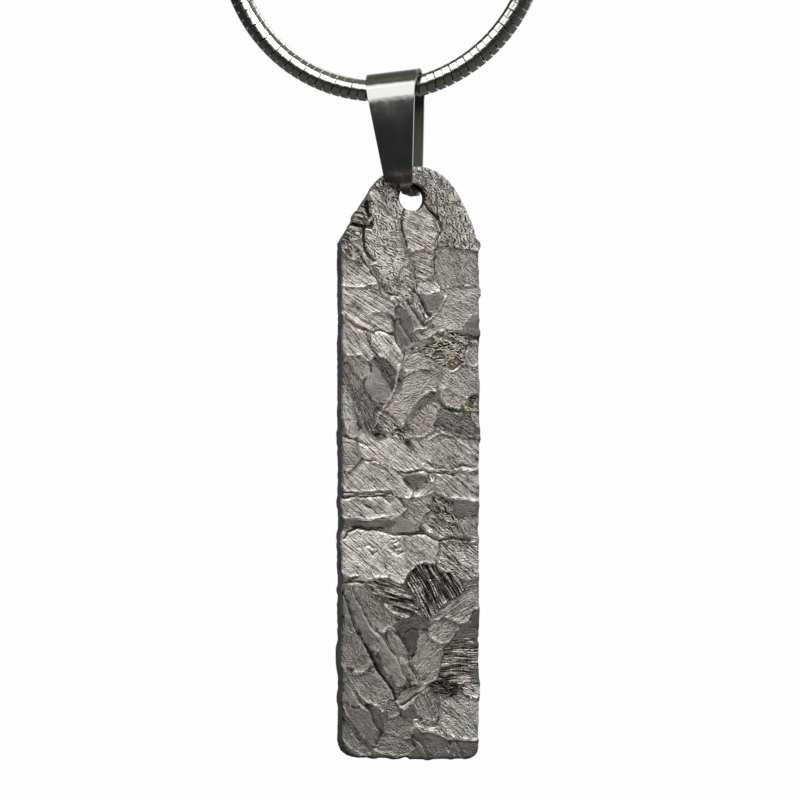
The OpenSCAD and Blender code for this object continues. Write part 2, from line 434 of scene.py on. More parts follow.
        return raised, light.outputs[0]


# Hairline scratches are some 0.02 mm apart in truth and are drawn at 0.1 mm, so that they show
HAIR_PITCH = 0.1 * MM
HAIR_LENGTH = 1.6 * MM
HAIR_HEIGHT = 0.004 * MM
SMEAR_SIZE = 1.4 * MM
DENT_SIZE = 0.45 * MM
# Where a brown reflection is painted on the bail's foot, the polish is also duller
PAINTED_REFLECTION_ROUGHNESS = 0.36


class SteelFinish(NamedTuple):
    """How one piece of stainless steel was finished, and the colour of a brown reflection painted on it, if
    any.
    """

    name: str
    colour: str
    roughness: float
    scratch: float
    wave: float
    painted_reflection: str = ""


class Steel(Enum):
    """The finishes of stainless steel on the pendant."""

    # Buffed to a mirror after bending, so it shows the room with soft edges; its last colour is a brown
    # reflection painted at the legs' feet
    POLISHED = SteelFinish("polished_stainless_strip", "#B9B9B6", 0.115, 0.35, 3.0, "#A87E6E")
    # The strip's inside and its bent prongs keep the rolled surface, which is duller and a little brown; its
    # dark colour also partly paints the shade inside the loop
    ROLLED = SteelFinish("rolled_stainless_strip", "#6D6A63", 0.48, 0.8, 1.5)
    # Tumbled links: bright on the crowns, a little softer than the bail
    TUMBLED = SteelFinish("tumbled_stainless_links", "#D6D6D0", 0.16, 0.4, 6.0)
    # Turned on a lathe and brushed round, so its highlights run along the barrel
    BRUSHED = SteelFinish("brushed_stainless_barrel", "#B4B4B0", 0.28, 0.8, 0.5)

    def material(self) -> bpy.types.Material:
        """Builds the finish with fine hairline scratches in its gloss.

        Returns:
            The material.
        """
        finish = self.value
        material, tree, shader = new_material(finish.name)
        place = add_node(tree, "ShaderNodeTexCoord")
        stretch = add_node(tree, "ShaderNodeMapping", {
            "Vector": place.outputs["Object"], "Scale": (1 / HAIR_PITCH, 1 / HAIR_PITCH, 1 / HAIR_LENGTH)})
        hairs, smears, dents = (add_node(tree, "ShaderNodeTexNoise", {
            "Vector": vector, "Scale": scale, "Detail": detail}) for vector, scale, detail in (
                (stretch.outputs[0], 1.0, 3.0),
                (place.outputs["Object"], 1 / SMEAR_SIZE, 2.0),
                (place.outputs["Object"], 1 / DENT_SIZE, 1.0)))
        gloss = add_node(tree, "ShaderNodeMath", {0: hairs.outputs["Fac"], 1: smears.outputs["Fac"]},
                         operation="ADD")
        rough = add_node(tree, "ShaderNodeMapRange", {
            "Value": gloss.outputs[0], "From Min": 0.6, "From Max": 1.4,
            "To Min": finish.roughness * 0.75, "To Max": finish.roughness * 1.35})
        relief = add_node(tree, "ShaderNodeMath", {
            0: dents.outputs["Fac"], 1: finish.wave, 2: hairs.outputs["Fac"]}, operation="MULTIPLY_ADD")
        bump = add_node(tree, "ShaderNodeBump", {
            "Height": relief.outputs[0], "Strength": finish.scratch, "Distance": HAIR_HEIGHT})
        tree.links.new(bump.outputs[0], shader.inputs["Normal"])
        shader.inputs["Metallic"].default_value = 1.0
        shader.inputs["Base Color"].default_value = linear(finish.colour)
        gloss_socket = rough.outputs[0]
        if finish.painted_reflection:
            gloss_socket = self.painted_reflection(tree, shader, smears, gloss_socket)
        tree.links.new(gloss_socket, shader.inputs["Roughness"])
        return material

    def painted_reflection(self, tree: bpy.types.NodeTree, shader: bpy.types.Node, smears: bpy.types.Node,
                gloss: bpy.types.NodeSocket) -> bpy.types.NodeSocket:
        """Browns and dulls the metal where the piece's own attribute says, which paints a brown reflection
        there.

        Args:
            tree: the material's nodes.
            shader: its principled shader.
            smears: the noise that makes the painted reflection uneven.
            gloss: the clean metal's roughness.

        Returns:
            The roughness with the painted reflection.
        """
        amount = add_node(tree, "ShaderNodeAttribute", attribute_name="painted_reflection")
        uneven = add_node(tree, "ShaderNodeMapRange", {
            "Value": smears.outputs["Fac"], "From Min": 0.35, "From Max": 0.6, "To Min": 0.5, "To Max": 1.0})
        # The stain here is the share of the brown reflection painted on the foot
        stain = add_node(tree, "ShaderNodeMath", {0: amount.outputs["Fac"], 1: uneven.outputs[0]},
                         operation="MULTIPLY")
        colour = add_node(tree, "ShaderNodeMix", {
            "Factor": stain.outputs[0], 6: linear(self.value.colour), 7: linear(self.value.painted_reflection)},
            data_type="RGBA")
        tree.links.new(colour.outputs[2], shader.inputs["Base Color"])
        return add_node(tree, "ShaderNodeMix", {
            "Factor": stain.outputs[0], 2: gloss, 3: PAINTED_REFLECTION_ROUGHNESS}, data_type="FLOAT").outputs[0]


class EtchWork(NamedTuple):
    """What the acid does to a patch: how deep it bites in millimetres, and its share of each mark."""

    bite: float
    hatch: float
    pits: float
    bronze: float


class Etch(Enum):
    """The kinds of patch on the bar's faces."""

    HATCHED = EtchWork(0.06, 0.9, 0.25, 0.0)
    MOTTLED = EtchWork(0.05, 0.2, 0.85, 0.05)
    GRAINED = EtchWork(0.04, 0.3, 0.34, 0.04)
    SMOOTH = EtchWork(0.0, 0.08, 0.12, 0.0)
    STRIATED = EtchWork(0.08, 2.2, 0.3, 0.1)
    RAGGED = EtchWork(0.08, 1.3, 0.6, 0.05)
    STREAKED = EtchWork(0.04, 0.85, 0.35, 0.03)
    PITTED = EtchWork(0.1, 0.3, 1.4, 0.12)
    NODULE = EtchWork(0.08, 0.1, 1.7, 0.15)
    RUSTED = EtchWork(0.06, 0.1, 0.8, 0.5)


class Patch(NamedTuple):
    """One plate or field: its middle, size in millimetres, tilt and grain in degrees, and tone."""

    x: float
    depth: float
    long: float
    wide: float
    tilt: float
    grain: float
    tone: float
    etch: Etch


class Trace(NamedTuple):
    """One groove or raised lip: its width in millimetres and the points that it runs through."""

    width: float
    points: tuple[tuple[float, float], ...]


# Plates and fields of the front face, charted from the head down
PATCHES = (
    Patch(2.2, 1.4, 4.2, 2.6, 40, 60, 0.44, Etch.MOTTLED),
    Patch(3.3, 4.2, 4.4, 2.9, 78, 70, 0.44, Etch.MOTTLED),
    Patch(3.3, 7.1, 3.2, 3.0, 85, 60, 0.43, Etch.GRAINED),
    Patch(-1.6, 2.3, 2.8, 1.7, 60, 60, 0.50, Etch.MOTTLED),
    Patch(-2.2, 1.2, 1.6, 0.9, -35, 40, 0.48, Etch.PITTED),
    Patch(-2.1, 4.6, 3.4, 2.2, 75, 45, 0.53, Etch.MOTTLED),
    Patch(-1.7, 7.0, 3.8, 2.4, 60, 40, 0.55, Etch.MOTTLED),
    Patch(-3.9, 4.0, 2.6, 1.3, -62, 30, 0.34, Etch.PITTED),
    Patch(-4.3, 6.2, 2.6, 0.9, 55, 50, 0.42, Etch.PITTED),
    Patch(-3.9, 8.0, 3.0, 2.2, 40, 35, 0.56, Etch.HATCHED),
    Patch(0.7, 4.5, 3.4, 2.3, 65, 28, 0.58, Etch.HATCHED),
    Patch(0.95, 7.0, 2.2, 1.5, 88, 22, 0.50, Etch.HATCHED),
    Patch(1.1, 8.6, 1.7, 1.0, 20, 32, 0.60, Etch.HATCHED),
    Patch(-0.5, 8.0, 1.8, 1.0, 80, 50, 0.50, Etch.MOTTLED),
    Patch(-3.3, 9.7, 3.8, 2.8, 30, 30, 0.58, Etch.HATCHED),
    Patch(-1.1, 9.2, 2.4, 1.3, 35, 40, 0.52, Etch.MOTTLED),
    Patch(-2.2, 11.0, 2.6, 1.3, 38, 36, 0.54, Etch.HATCHED),
    Patch(-4.0, 12.6, 2.8, 1.8, 50, 52, 0.55, Etch.HATCHED),
    Patch(-1.7, 13.0, 2.7, 1.75, 55, 50, 0.60, Etch.HATCHED),
    Patch(-0.75, 12.0, 2.6, 0.62, 60, 60, 0.33, Etch.SMOOTH),
    Patch(-0.3, 11.3, 2.7, 0.62, 62, 60, 0.34, Etch.SMOOTH),
    Patch(0.3, 10.8, 2.2, 0.55, 62, 60, 0.43, Etch.SMOOTH),
    Patch(0.5, 10.0, 1.9, 0.5, 66, 60, 0.50, Etch.MOTTLED),
    Patch(1.6, 9.8, 1.6, 1.1, 5, 40, 0.36, Etch.SMOOTH),
    Patch(3.4, 10.3, 3.6, 2.6, -65, 30, 0.50, Etch.GRAINED),
    Patch(4.5, 11.4, 1.7, 0.9, 100, 60, 0.36, Etch.SMOOTH),
    Patch(1.0, 12.0, 1.3, 0.7, -15, 30, 0.52, Etch.HATCHED),
    Patch(0.9, 12.75, 2.2, 0.45, -20, 0, 0.40, Etch.SMOOTH),
    Patch(2.5, 13.4, 2.9, 1.9, 35, 0, 0.42, Etch.NODULE),
    Patch(3.6, 12.3, 2.4, 0.8, 15, 20, 0.36, Etch.PITTED),
    Patch(4.5, 13.5, 1.4, 1.0, 90, 60, 0.48, Etch.GRAINED),
    Patch(0.8, 14.3, 2.4, 1.3, 15, -25, 0.54, Etch.GRAINED),
    Patch(3.6, 15.4, 3.2, 2.0, 20, 45, 0.51, Etch.GRAINED),
    Patch(0.2, 16.3, 5.8, 2.0, -54, -25, 0.52, Etch.GRAINED),
    Patch(-1.6, 14.9, 2.9, 0.85, 62, 58, 0.27, Etch.STREAKED),
    Patch(-2.5, 15.7, 2.5, 1.3, 60, 60, 0.46, Etch.SMOOTH),
    Patch(-3.6, 14.5, 2.2, 1.1, 55, 55, 0.44, Etch.GRAINED),
    Patch(-3.6, 17.0, 5.2, 1.2, 64, 64, 0.35, Etch.STREAKED),
    Patch(-4.5, 17.9, 3.4, 0.9, 76, 70, 0.58, Etch.GRAINED),
    Patch(3.2, 16.8, 1.8, 1.0, 25, 40, 0.52, Etch.GRAINED),
    Patch(4.6, 16.8, 1.2, 0.8, 100, 60, 0.30, Etch.PITTED),
    Patch(-1.7, 18.4, 2.1, 1.2, 25, 38, 0.46, Etch.RAGGED),
    Patch(0.5, 17.3, 3.0, 0.62, -50, 50, 0.33, Etch.SMOOTH),
    Patch(1.0, 18.4, 2.4, 1.6, -50, 40, 0.50, Etch.GRAINED),
    Patch(3.3, 18.5, 3.2, 1.7, 8, 30, 0.32, Etch.STREAKED),
    Patch(4.2, 17.35, 1.1, 0.5, 20, 20, 0.66, Etch.RUSTED),
    Patch(3.1, 14.1, 1.1, 0.7, 25, 20, 0.52, Etch.RUSTED),
    Patch(4.75, 18.4, 1.6, 0.5, 65, 60, 0.50, Etch.GRAINED),
    Patch(-2.3, 19.35, 1.2, 0.5, 20, 0, 0.26, Etch.NODULE),
    Patch(-0.7, 19.2, 1.6, 0.8, 10, 40, 0.42, Etch.PITTED),
    Patch(-0.1, 20.1, 0.9, 0.4, 50, 0, 0.32, Etch.NODULE),
    Patch(-1.4, 20.8, 5.2, 2.0, 25, 42, 0.68, Etch.HATCHED),
    Patch(-4.4, 20.9, 2.5, 1.3, 90, 45, 0.50, Etch.GRAINED),
    Patch(2.7, 20.5, 4.6, 2.1, 10, 42, 0.56, Etch.HATCHED),
    Patch(1.9, 21.75, 1.9, 0.5, 3, 30, 0.50, Etch.MOTTLED),
    Patch(-2.5, 22.6, 5.0, 1.95, 10, 42, 0.60, Etch.HATCHED),
    Patch(0.25, 22.6, 1.6, 1.0, 20, 0, 0.35, Etch.SMOOTH),
    Patch(3.5, 23.1, 3.3, 1.9, 8, 42, 0.57, Etch.HATCHED),
    Patch(1.4, 22.5, 0.7, 0.5, 0, 20, 0.66, Etch.PITTED),
    Patch(1.0, 23.4, 1.7, 0.9, -40, -40, 0.58, Etch.HATCHED),
    Patch(0.5, 24.7, 3.0, 1.5, -50, 40, 0.48, Etch.GRAINED),
    Patch(-0.4, 25.9, 1.9, 1.4, 20, 30, 0.47, Etch.SMOOTH),
    Patch(-2.8, 24.65, 4.4, 1.5, 2, 40, 0.57, Etch.HATCHED),
    Patch(-4.4, 23.65, 1.6, 0.35, 0, 0, 0.36, Etch.SMOOTH),
    Patch(-3.1, 25.8, 4.0, 0.8, 0, 0, 0.33, Etch.SMOOTH),
    Patch(4.1, 24.6, 2.1, 1.0, 0, 0, 0.33, Etch.SMOOTH),
    Patch(4.4, 26.0, 1.5, 1.7, 90, 60, 0.50, Etch.GRAINED),
    Patch(2.3, 24.6, 2.4, 1.3, 55, 50, 0.40, Etch.PITTED),
    Patch(2.5, 26.2, 4.0, 1.3, 28, 40, 0.46, Etch.RAGGED),
    Patch(-2.4, 27.9, 5.8, 3.4, 15, 42, 0.70, Etch.HATCHED),
    Patch(0.7, 27.7, 3.0, 2.2, 10, 42, 0.60, Etch.HATCHED),
    Patch(3.4, 28.2, 3.2, 2.3, 15, 36, 0.52, Etch.RAGGED),
    Patch(1.3, 30.4, 3.9, 2.6, 55, 62, 0.20, Etch.STRIATED),
    Patch(3.0, 30.2, 1.9, 1.3, 60, 58, 0.22, Etch.STRIATED),
    Patch(-1.2, 31.0, 3.9, 2.1, 30, 18, 0.30, Etch.STRIATED),
    Patch(0.1, 33.1, 2.2, 1.0, 0, 80, 0.27, Etch.SMOOTH),
    Patch(0.15, 34.1, 2.4, 1.0, 88, 80, 0.27, Etch.SMOOTH),
    Patch(3.4, 31.9, 3.6, 1.8, -35, -30, 0.47, Etch.HATCHED),
    Patch(4.75, 32.5, 1.3, 0.6, 110, 80, 0.28, Etch.SMOOTH),
    Patch(2.3, 33.4, 2.8, 1.5, -45, -45, 0.50, Etch.GRAINED),
    Patch(-2.7, 31.6, 4.2, 1.2, 54, 60, 0.47, Etch.GRAINED),
    Patch(-3.4, 32.9, 5.2, 0.9, 58, 60, 0.45, Etch.SMOOTH),
    Patch(-4.4, 32.2, 3.4, 0.7, 64, 60, 0.40, Etch.SMOOTH),
    Patch(-3.8, 35.4, 5.0, 1.8, 66, 60, 0.45, Etch.GRAINED),
    Patch(-1.7, 35.3, 4.2, 0.95, 60, 60, 0.46, Etch.SMOOTH),
    Patch(-0.75, 34.8, 3.4, 0.8, 62, 60, 0.45, Etch.GRAINED),
    Patch(3.7, 35.8, 2.7, 2.9, 90, 0, 0.33, Etch.STRIATED),
    Patch(2.5, 37.7, 2.0, 1.1, 5, 0, 0.18, Etch.PITTED),
    Patch(4.1, 37.8, 1.5, 1.0, 0, 20, 0.50, Etch.PITTED),
    Patch(3.8, 39.7, 3.1, 2.6, 30, 42, 0.63, Etch.HATCHED),
    Patch(1.3, 38.9, 2.2, 1.5, 62, 66, 0.50, Etch.HATCHED),
    Patch(1.3, 40.4, 2.0, 0.75, 15, 20, 0.60, Etch.MOTTLED),
    Patch(1.7, 41.6, 3.2, 1.2, 35, 40, 0.40, Etch.SMOOTH),
    Patch(4.0, 42.0, 2.1, 1.2, 0, 40, 0.37, Etch.SMOOTH),
    Patch(1.2, 35.2, 3.4, 1.9, 100, -50, 0.50, Etch.GRAINED),
    Patch(-0.1, 36.3, 2.0, 0.8, 65, 60, 0.44, Etch.GRAINED),
    Patch(-2.9, 37.1, 3.8, 2.1, 50, 50, 0.47, Etch.GRAINED),
    Patch(-4.4, 38.3, 2.4, 0.7, 55, 55, 0.45, Etch.SMOOTH),
    Patch(-3.4, 40.0, 3.2, 1.0, 52, 52, 0.43, Etch.SMOOTH),
    Patch(-4.2, 41.2, 2.8, 0.9, 50, 50, 0.44, Etch.HATCHED),
    Patch(-2.5, 39.7, 2.1, 0.65, 62, 60, 0.33, Etch.SMOOTH),
    Patch(-0.8, 40.4, 1.9, 1.2, 20, 40, 0.45, Etch.GRAINED),
    Patch(-1.2, 41.7, 2.4, 1.2, 10, 30, 0.46, Etch.GRAINED),
    Patch(-0.2, 38.2, 2.2, 0.9, -35, -35, 0.50, Etch.GRAINED),
    Patch(-1.4, 39.1, 1.2, 0.8, 60, 40, 0.42, Etch.GRAINED),
)

# Grooves that the acid cut between the plates
GROOVES = (
    Trace(0.44, ((-3.15, 2.6), (-3.2, 3.2), (-2.8, 3.9), (-2.9, 4.4), (-3.4, 4.3), (-3.5, 4.6))),
    Trace(0.30, ((-3.5, 4.6), (-3.5, 5.5), (-3.3, 6.1), (-3.0, 6.6), (-2.6, 6.9))),
    Trace(0.40, ((-3.6, 4.3), (-4.3, 4.1))),
    Trace(0.22, ((-3.6, 6.5), (-3.2, 7.2), (-2.8, 7.8), (-2.3, 8.4))),
    Trace(0.20, ((-2.9, 7.2), (-2.4, 7.9), (-2.0, 8.6), (-1.6, 9.2), (-1.0, 9.4))),
    Trace(0.30, ((-0.75, 3.9), (-0.6, 4.5), (-0.4, 5.2), (-0.25, 5.8))),
    Trace(0.20, ((0.2, 6.9), (0.25, 7.6), (0.35, 8.4), (0.5, 9.0), (0.8, 9.9), (1.1, 10.6), (1.4, 10.9))),
    Trace(0.34, ((1.0, 2.6), (1.45, 3.2), (1.95, 3.8))),
    Trace(0.15, ((1.9, 3.8), (2.2, 4.6), (1.9, 5.4), (1.8, 6.3), (1.75, 7.2), (1.8, 8.0), (2.0, 8.7))),
    Trace(0.14, ((-4.9, 10.8), (-3.9, 11.6), (-2.7, 12.1))),
    Trace(0.12, ((-4.6, 10.3), (-3.3, 11.2), (-2.6, 11.7))),
    Trace(0.20, ((-2.7, 12.1), (-2.6, 11.9), (-2.0, 11.85), (-1.2, 12.2), (-0.8, 12.9), (-0.4, 13.6))),
    Trace(0.14, ((-1.0, 11.0), (0.0, 12.8))),
    Trace(0.16, ((-0.35, 9.6), (0.3, 10.6), (0.95, 11.5))),
    Trace(0.18, ((-3.2, 12.2), (-2.9, 13.0), (-2.4, 13.6))),
    Trace(0.15, ((1.1, 13.6), (2.2, 14.2), (2.9, 14.75), (3.6, 14.4))),
    Trace(0.12, ((2.0, 17.0), (2.4, 17.5), (3.6, 17.7))),
    Trace(0.20, ((-4.9, 19.5), (-4.3, 19.6), (-3.7, 19.9), (-3.1, 20.2))),
    Trace(0.16, ((-3.3, 21.35), (-2.6, 21.2), (-2.0, 21.5), (-1.2, 21.9), (-0.6, 22.3), (0.05, 23.4))),
    Trace(0.20, ((-1.0, 22.0), (0.2, 22.1), (1.0, 21.95), (1.3, 22.15), (2.5, 22.1), (3.2, 22.2))),
    Trace(0.16, ((2.9, 21.7), (3.6, 21.5), (4.9, 21.8))),
    Trace(0.20, ((-4.9, 24.0), (-3.9, 23.75), (-2.6, 23.85), (-1.4, 23.7), (-0.8, 24.05), (-0.5, 24.4))),
    Trace(0.14, ((-4.9, 23.5), (-3.6, 23.55), (-2.6, 23.65), (-1.3, 23.55))),
    Trace(0.22, ((-4.9, 26.8), (-4.6, 26.3), (-3.8, 26.1), (-2.9, 26.1), (-2.2, 26.35), (-0.3, 26.65))),
    Trace(0.22, ((-0.3, 26.65), (0.3, 26.5), (0.9, 26.45), (2.1, 27.05), (2.8, 26.85), (4.4, 27.1))),
    Trace(0.20, ((1.2, 24.6), (1.6, 24.9), (2.0, 25.0))),
    Trace(0.18, ((-4.9, 30.0), (-4.2, 29.85), (-3.5, 30.0))),
    Trace(0.16, ((-4.3, 30.2), (-3.8, 31.2), (-3.0, 32.7), (-2.2, 33.7), (-1.0, 35.6), (-0.1, 37.2))),
    Trace(0.20, ((-4.9, 30.9), (-4.6, 32.0), (-4.2, 32.8), (-3.9, 33.5), (-3.3, 34.4))),
    Trace(0.34, ((-3.3, 34.4), (-2.9, 35.0), (-2.5, 35.8), (-2.2, 36.5), (-1.4, 37.9), (-1.2, 38.5))),
    Trace(0.14, ((-1.2, 33.4), (-0.5, 34.2), (-0.2, 34.9), (0.0, 35.6))),
    Trace(0.14, ((-4.9, 36.6), (-3.8, 38.4), (-3.0, 39.2), (-2.7, 39.9), (-2.3, 40.7), (-2.6, 41.9))),
    Trace(0.16, ((-0.8, 38.9), (0.3, 38.1), (1.3, 37.6))),
    Trace(0.12, ((2.6, 41.3), (2.8, 42.2))),
    Trace(0.12, ((3.2, 41.5), (3.7, 42.5))),
    Trace(0.12, ((0.0, 41.0), (0.9, 41.8), (1.3, 42.6))),
    Trace(0.16, ((-0.15, 35.4), (0.1, 36.2), (0.3, 37.0))),
    # Four-sided pits that the acid opened along the crystal in the big plate
    Trace(0.10, ((-3.3, 27.4), (-2.9, 27.3), (-2.4, 27.85), (-2.75, 28.1), (-3.3, 27.4))),
    Trace(0.10, ((-1.5, 26.95), (-1.2, 26.9), (-1.0, 27.15), (-1.3, 27.25))),
    Trace(0.10, ((-1.3, 27.6), (-0.8, 27.5), (-0.6, 27.8), (-1.0, 28.0), (-1.3, 27.6))),
    Trace(0.12, ((-3.4, 24.3), (-3.1, 24.6), (-2.7, 24.8))),
    Trace(0.12, ((-1.9, 23.9), (-1.5, 24.2))),
)

# Bright lips that stand up beside the grooves
LIPS = (
    Trace(0.22, ((-3.4, 6.6), (-3.0, 7.3), (-2.6, 7.9), (-2.2, 8.3))),
    Trace(0.30, ((-4.4, 5.3), (-3.9, 5.8), (-3.5, 6.1))),
    Trace(0.24, ((-4.8, 10.5), (-4.0, 11.2), (-3.2, 11.6), (-2.7, 11.95))),
    Trace(0.12, ((-0.9, 4.6), (-0.5, 5.5))),
    Trace(0.12, ((0.0, 7.6), (0.1, 8.4))),
    Trace(0.14, ((2.5, 9.4), (2.2, 10.1), (1.9, 10.6), (1.4, 10.95), (0.95, 11.2))),
    Trace(0.14, ((0.2, 11.9), (0.4, 11.65), (1.0, 11.6))),
    Trace(0.16, ((2.1, 12.5), (2.7, 12.7), (3.3, 13.2))),
    Trace(0.18, ((1.2, 13.7), (2.3, 14.35), (3.1, 14.85), (3.9, 14.3), (4.1, 13.3))),
    Trace(0.14, ((0.0, 13.4), (-0.9, 14.7), (-1.2, 16.0), (-1.9, 17.2), (-2.6, 18.7))),
    Trace(0.14, ((-4.8, 16.2), (-4.3, 17.2), (-3.9, 18.4), (-3.7, 19.1))),
    Trace(0.14, ((1.2, 19.75), (2.3, 19.2), (3.2, 19.45), (4.2, 20.2), (4.8, 20.8))),
    Trace(0.14, ((-2.4, 21.3), (-1.3, 21.75), (-0.6, 21.95), (0.6, 21.9))),
    Trace(0.12, ((-4.8, 23.35), (-3.6, 23.4), (-2.2, 23.45), (-1.3, 23.4))),
    Trace(0.12, ((2.9, 23.9), (3.8, 24.05), (4.9, 24.05))),
    Trace(0.14, ((2.5, 23.7), (3.0, 24.6), (3.2, 25.5))),
    Trace(0.14, ((-4.5, 25.1), (-3.8, 25.45), (-2.9, 25.4), (-1.8, 25.3), (-1.0, 25.0))),
    Trace(0.14, ((-4.3, 29.8), (-2.8, 29.75), (-1.8, 29.55))),
    Trace(0.12, ((-4.9, 35.8), (-4.4, 36.9), (-3.7, 38.0), (-3.1, 38.6), (-2.4, 38.8))),
    Trace(0.12, ((0.5, 37.9), (1.4, 37.6))),
    Trace(0.14, ((-4.9, 38.8), (-4.6, 39.5))),
    Trace(0.16, ((0.4, 40.2), (0.8, 40.7), (1.6, 40.8), (2.8, 41.35), (4.9, 41.35))),
    Trace(0.30, ((-1.45, 1.8), (-1.35, 1.8))),
    Trace(0.30, ((-3.65, 3.6), (-3.55, 3.6))),
    Trace(0.34, ((-4.0, 4.8), (-3.85, 4.9))),
    Trace(0.20, ((-2.9, 3.7), (-2.9, 3.9))),
    Trace(0.14, ((-1.6, 26.9), (-1.35, 27.15), (-1.0, 27.05))),
    Trace(0.14, ((-1.2, 27.4), (-0.85, 27.7), (-0.55, 27.6))),
)


class Stain(NamedTuple):
    """A yellow or brown stain: its middle and width in millimetres, and its strength."""

    x: float
    depth: float
    wide: float
    strength: float


# Rust left by salts in the iron
STAINS = (
    Stain(4.2, 17.3, 0.7, 1.0),
    Stain(3.1, 14.0, 0.8, 0.8),
    Stain(2.4, 12.9, 1.2, 0.4),
    Stain(-2.3, 19.35, 0.9, 0.6),
    Stain(-0.2, 19.9, 0.9, 0.7),
    Stain(0.1, 37.4, 1.4, 0.5),
    Stain(0.8, 37.0, 0.8, 0.4),
    Stain(-3.6, 3.9, 1.0, 0.3),
)


class Nick(NamedTuple):
    """A place where the sawn edge swells out: its side, place, length and reach outward in millimetres.

    The side is -1 at the left and 1 at the right, where the place is the depth. At the foot the side is 0
    and the place is the distance right of the middle.
    """

    side: int
    place: float
    long: float
    push: float


# The outline's own bumps and hollows, read off both edges
NICKS = (
    Nick(-1, 3.5, 0.9, 0.14),
    Nick(-1, 19.5, 1.6, 0.09),
    Nick(-1, 24.2, 1.3, 0.09),
    Nick(-1, 27.0, 1.9, 0.08),
    Nick(-1, 30.6, 0.8, 0.06),
    Nick(-1, 35.4, 2.6, 0.13),
    Nick(-1, 38.3, 1.2, 0.11),
    Nick(1, 5.6, 0.9, 0.16),
    Nick(1, 9.1, 1.1, 0.15),
    Nick(1, 12.0, 0.8, 0.08),
    Nick(1, 16.1, 3.4, 0.06),
    Nick(1, 19.4, 1.5, 0.08),
    Nick(1, 24.2, 1.4, 0.06),
    Nick(1, 26.3, 1.2, -0.07),
    Nick(1, 32.4, 2.4, 0.06),
    Nick(1, 34.1, 0.6, -0.05),
    Nick(1, 37.7, 2.3, 0.07),
    Nick(0, -2.6, 0.7, 0.08),
    Nick(0, -1.0, 1.4, 0.12),
    Nick(0, 1.3, 0.8, 0.07),
    Nick(0, 3.0, 0.6, 0.06),
)


# The look of sawn metal: its lightness, then its shares of hatching, pits and bronze
SAWN_ETCH = (0.25, 0.35, 0.4, 0.05)
# Distances to a rim stop at SEAM_END on the faces, so the greater ones mark the sawn edge and the bore
SEAM_END = 0.5
EDGE_MARK = 1.1
BORE_MARK = 2.0
# The sawn edge's waves: length in millimetres, share and seed
SAW_WAVES = ((1.3, 0.55, 51), (0.45, 0.35, 53), (0.2, 0.25, 55))


@dataclass(frozen=True)
class EtchMap:
    """Maps of one face of the bar in square cells: its height, etch, grain and distances to its seams."""

    cell: float
    margin: float
    height: np.ndarray
    etch: np.ndarray
    grain: np.ndarray
    seams: np.ndarray

    def sample(self, layer: np.ndarray, x: np.ndarray, depth: np.ndarray) -> np.ndarray:
        """Reads a layer at given places, blended between cells.

        Args:
            layer: one of the maps.
            x: places across in millimetres.
            depth: places down in millimetres.

        Returns:
            The layer's value at each place.
        """
        rows, columns = layer.shape[:2]
        u = np.clip((x + self.margin) / self.cell, 0, columns - 1.001)
        v = np.clip(depth / self.cell, 0, rows - 1.001)
        i, j = u.astype(int), v.astype(int)
        fu, fv = u - i, v - j
        if layer.ndim == 3:
            fu, fv = fu[:, None], fv[:, None]
        upper = layer[j, i] * (1 - fu) + layer[j, i + 1] * fu
        lower = layer[j + 1, i] * (1 - fu) + layer[j + 1, i + 1] * fu
        return upper * (1 - fv) + lower * fv


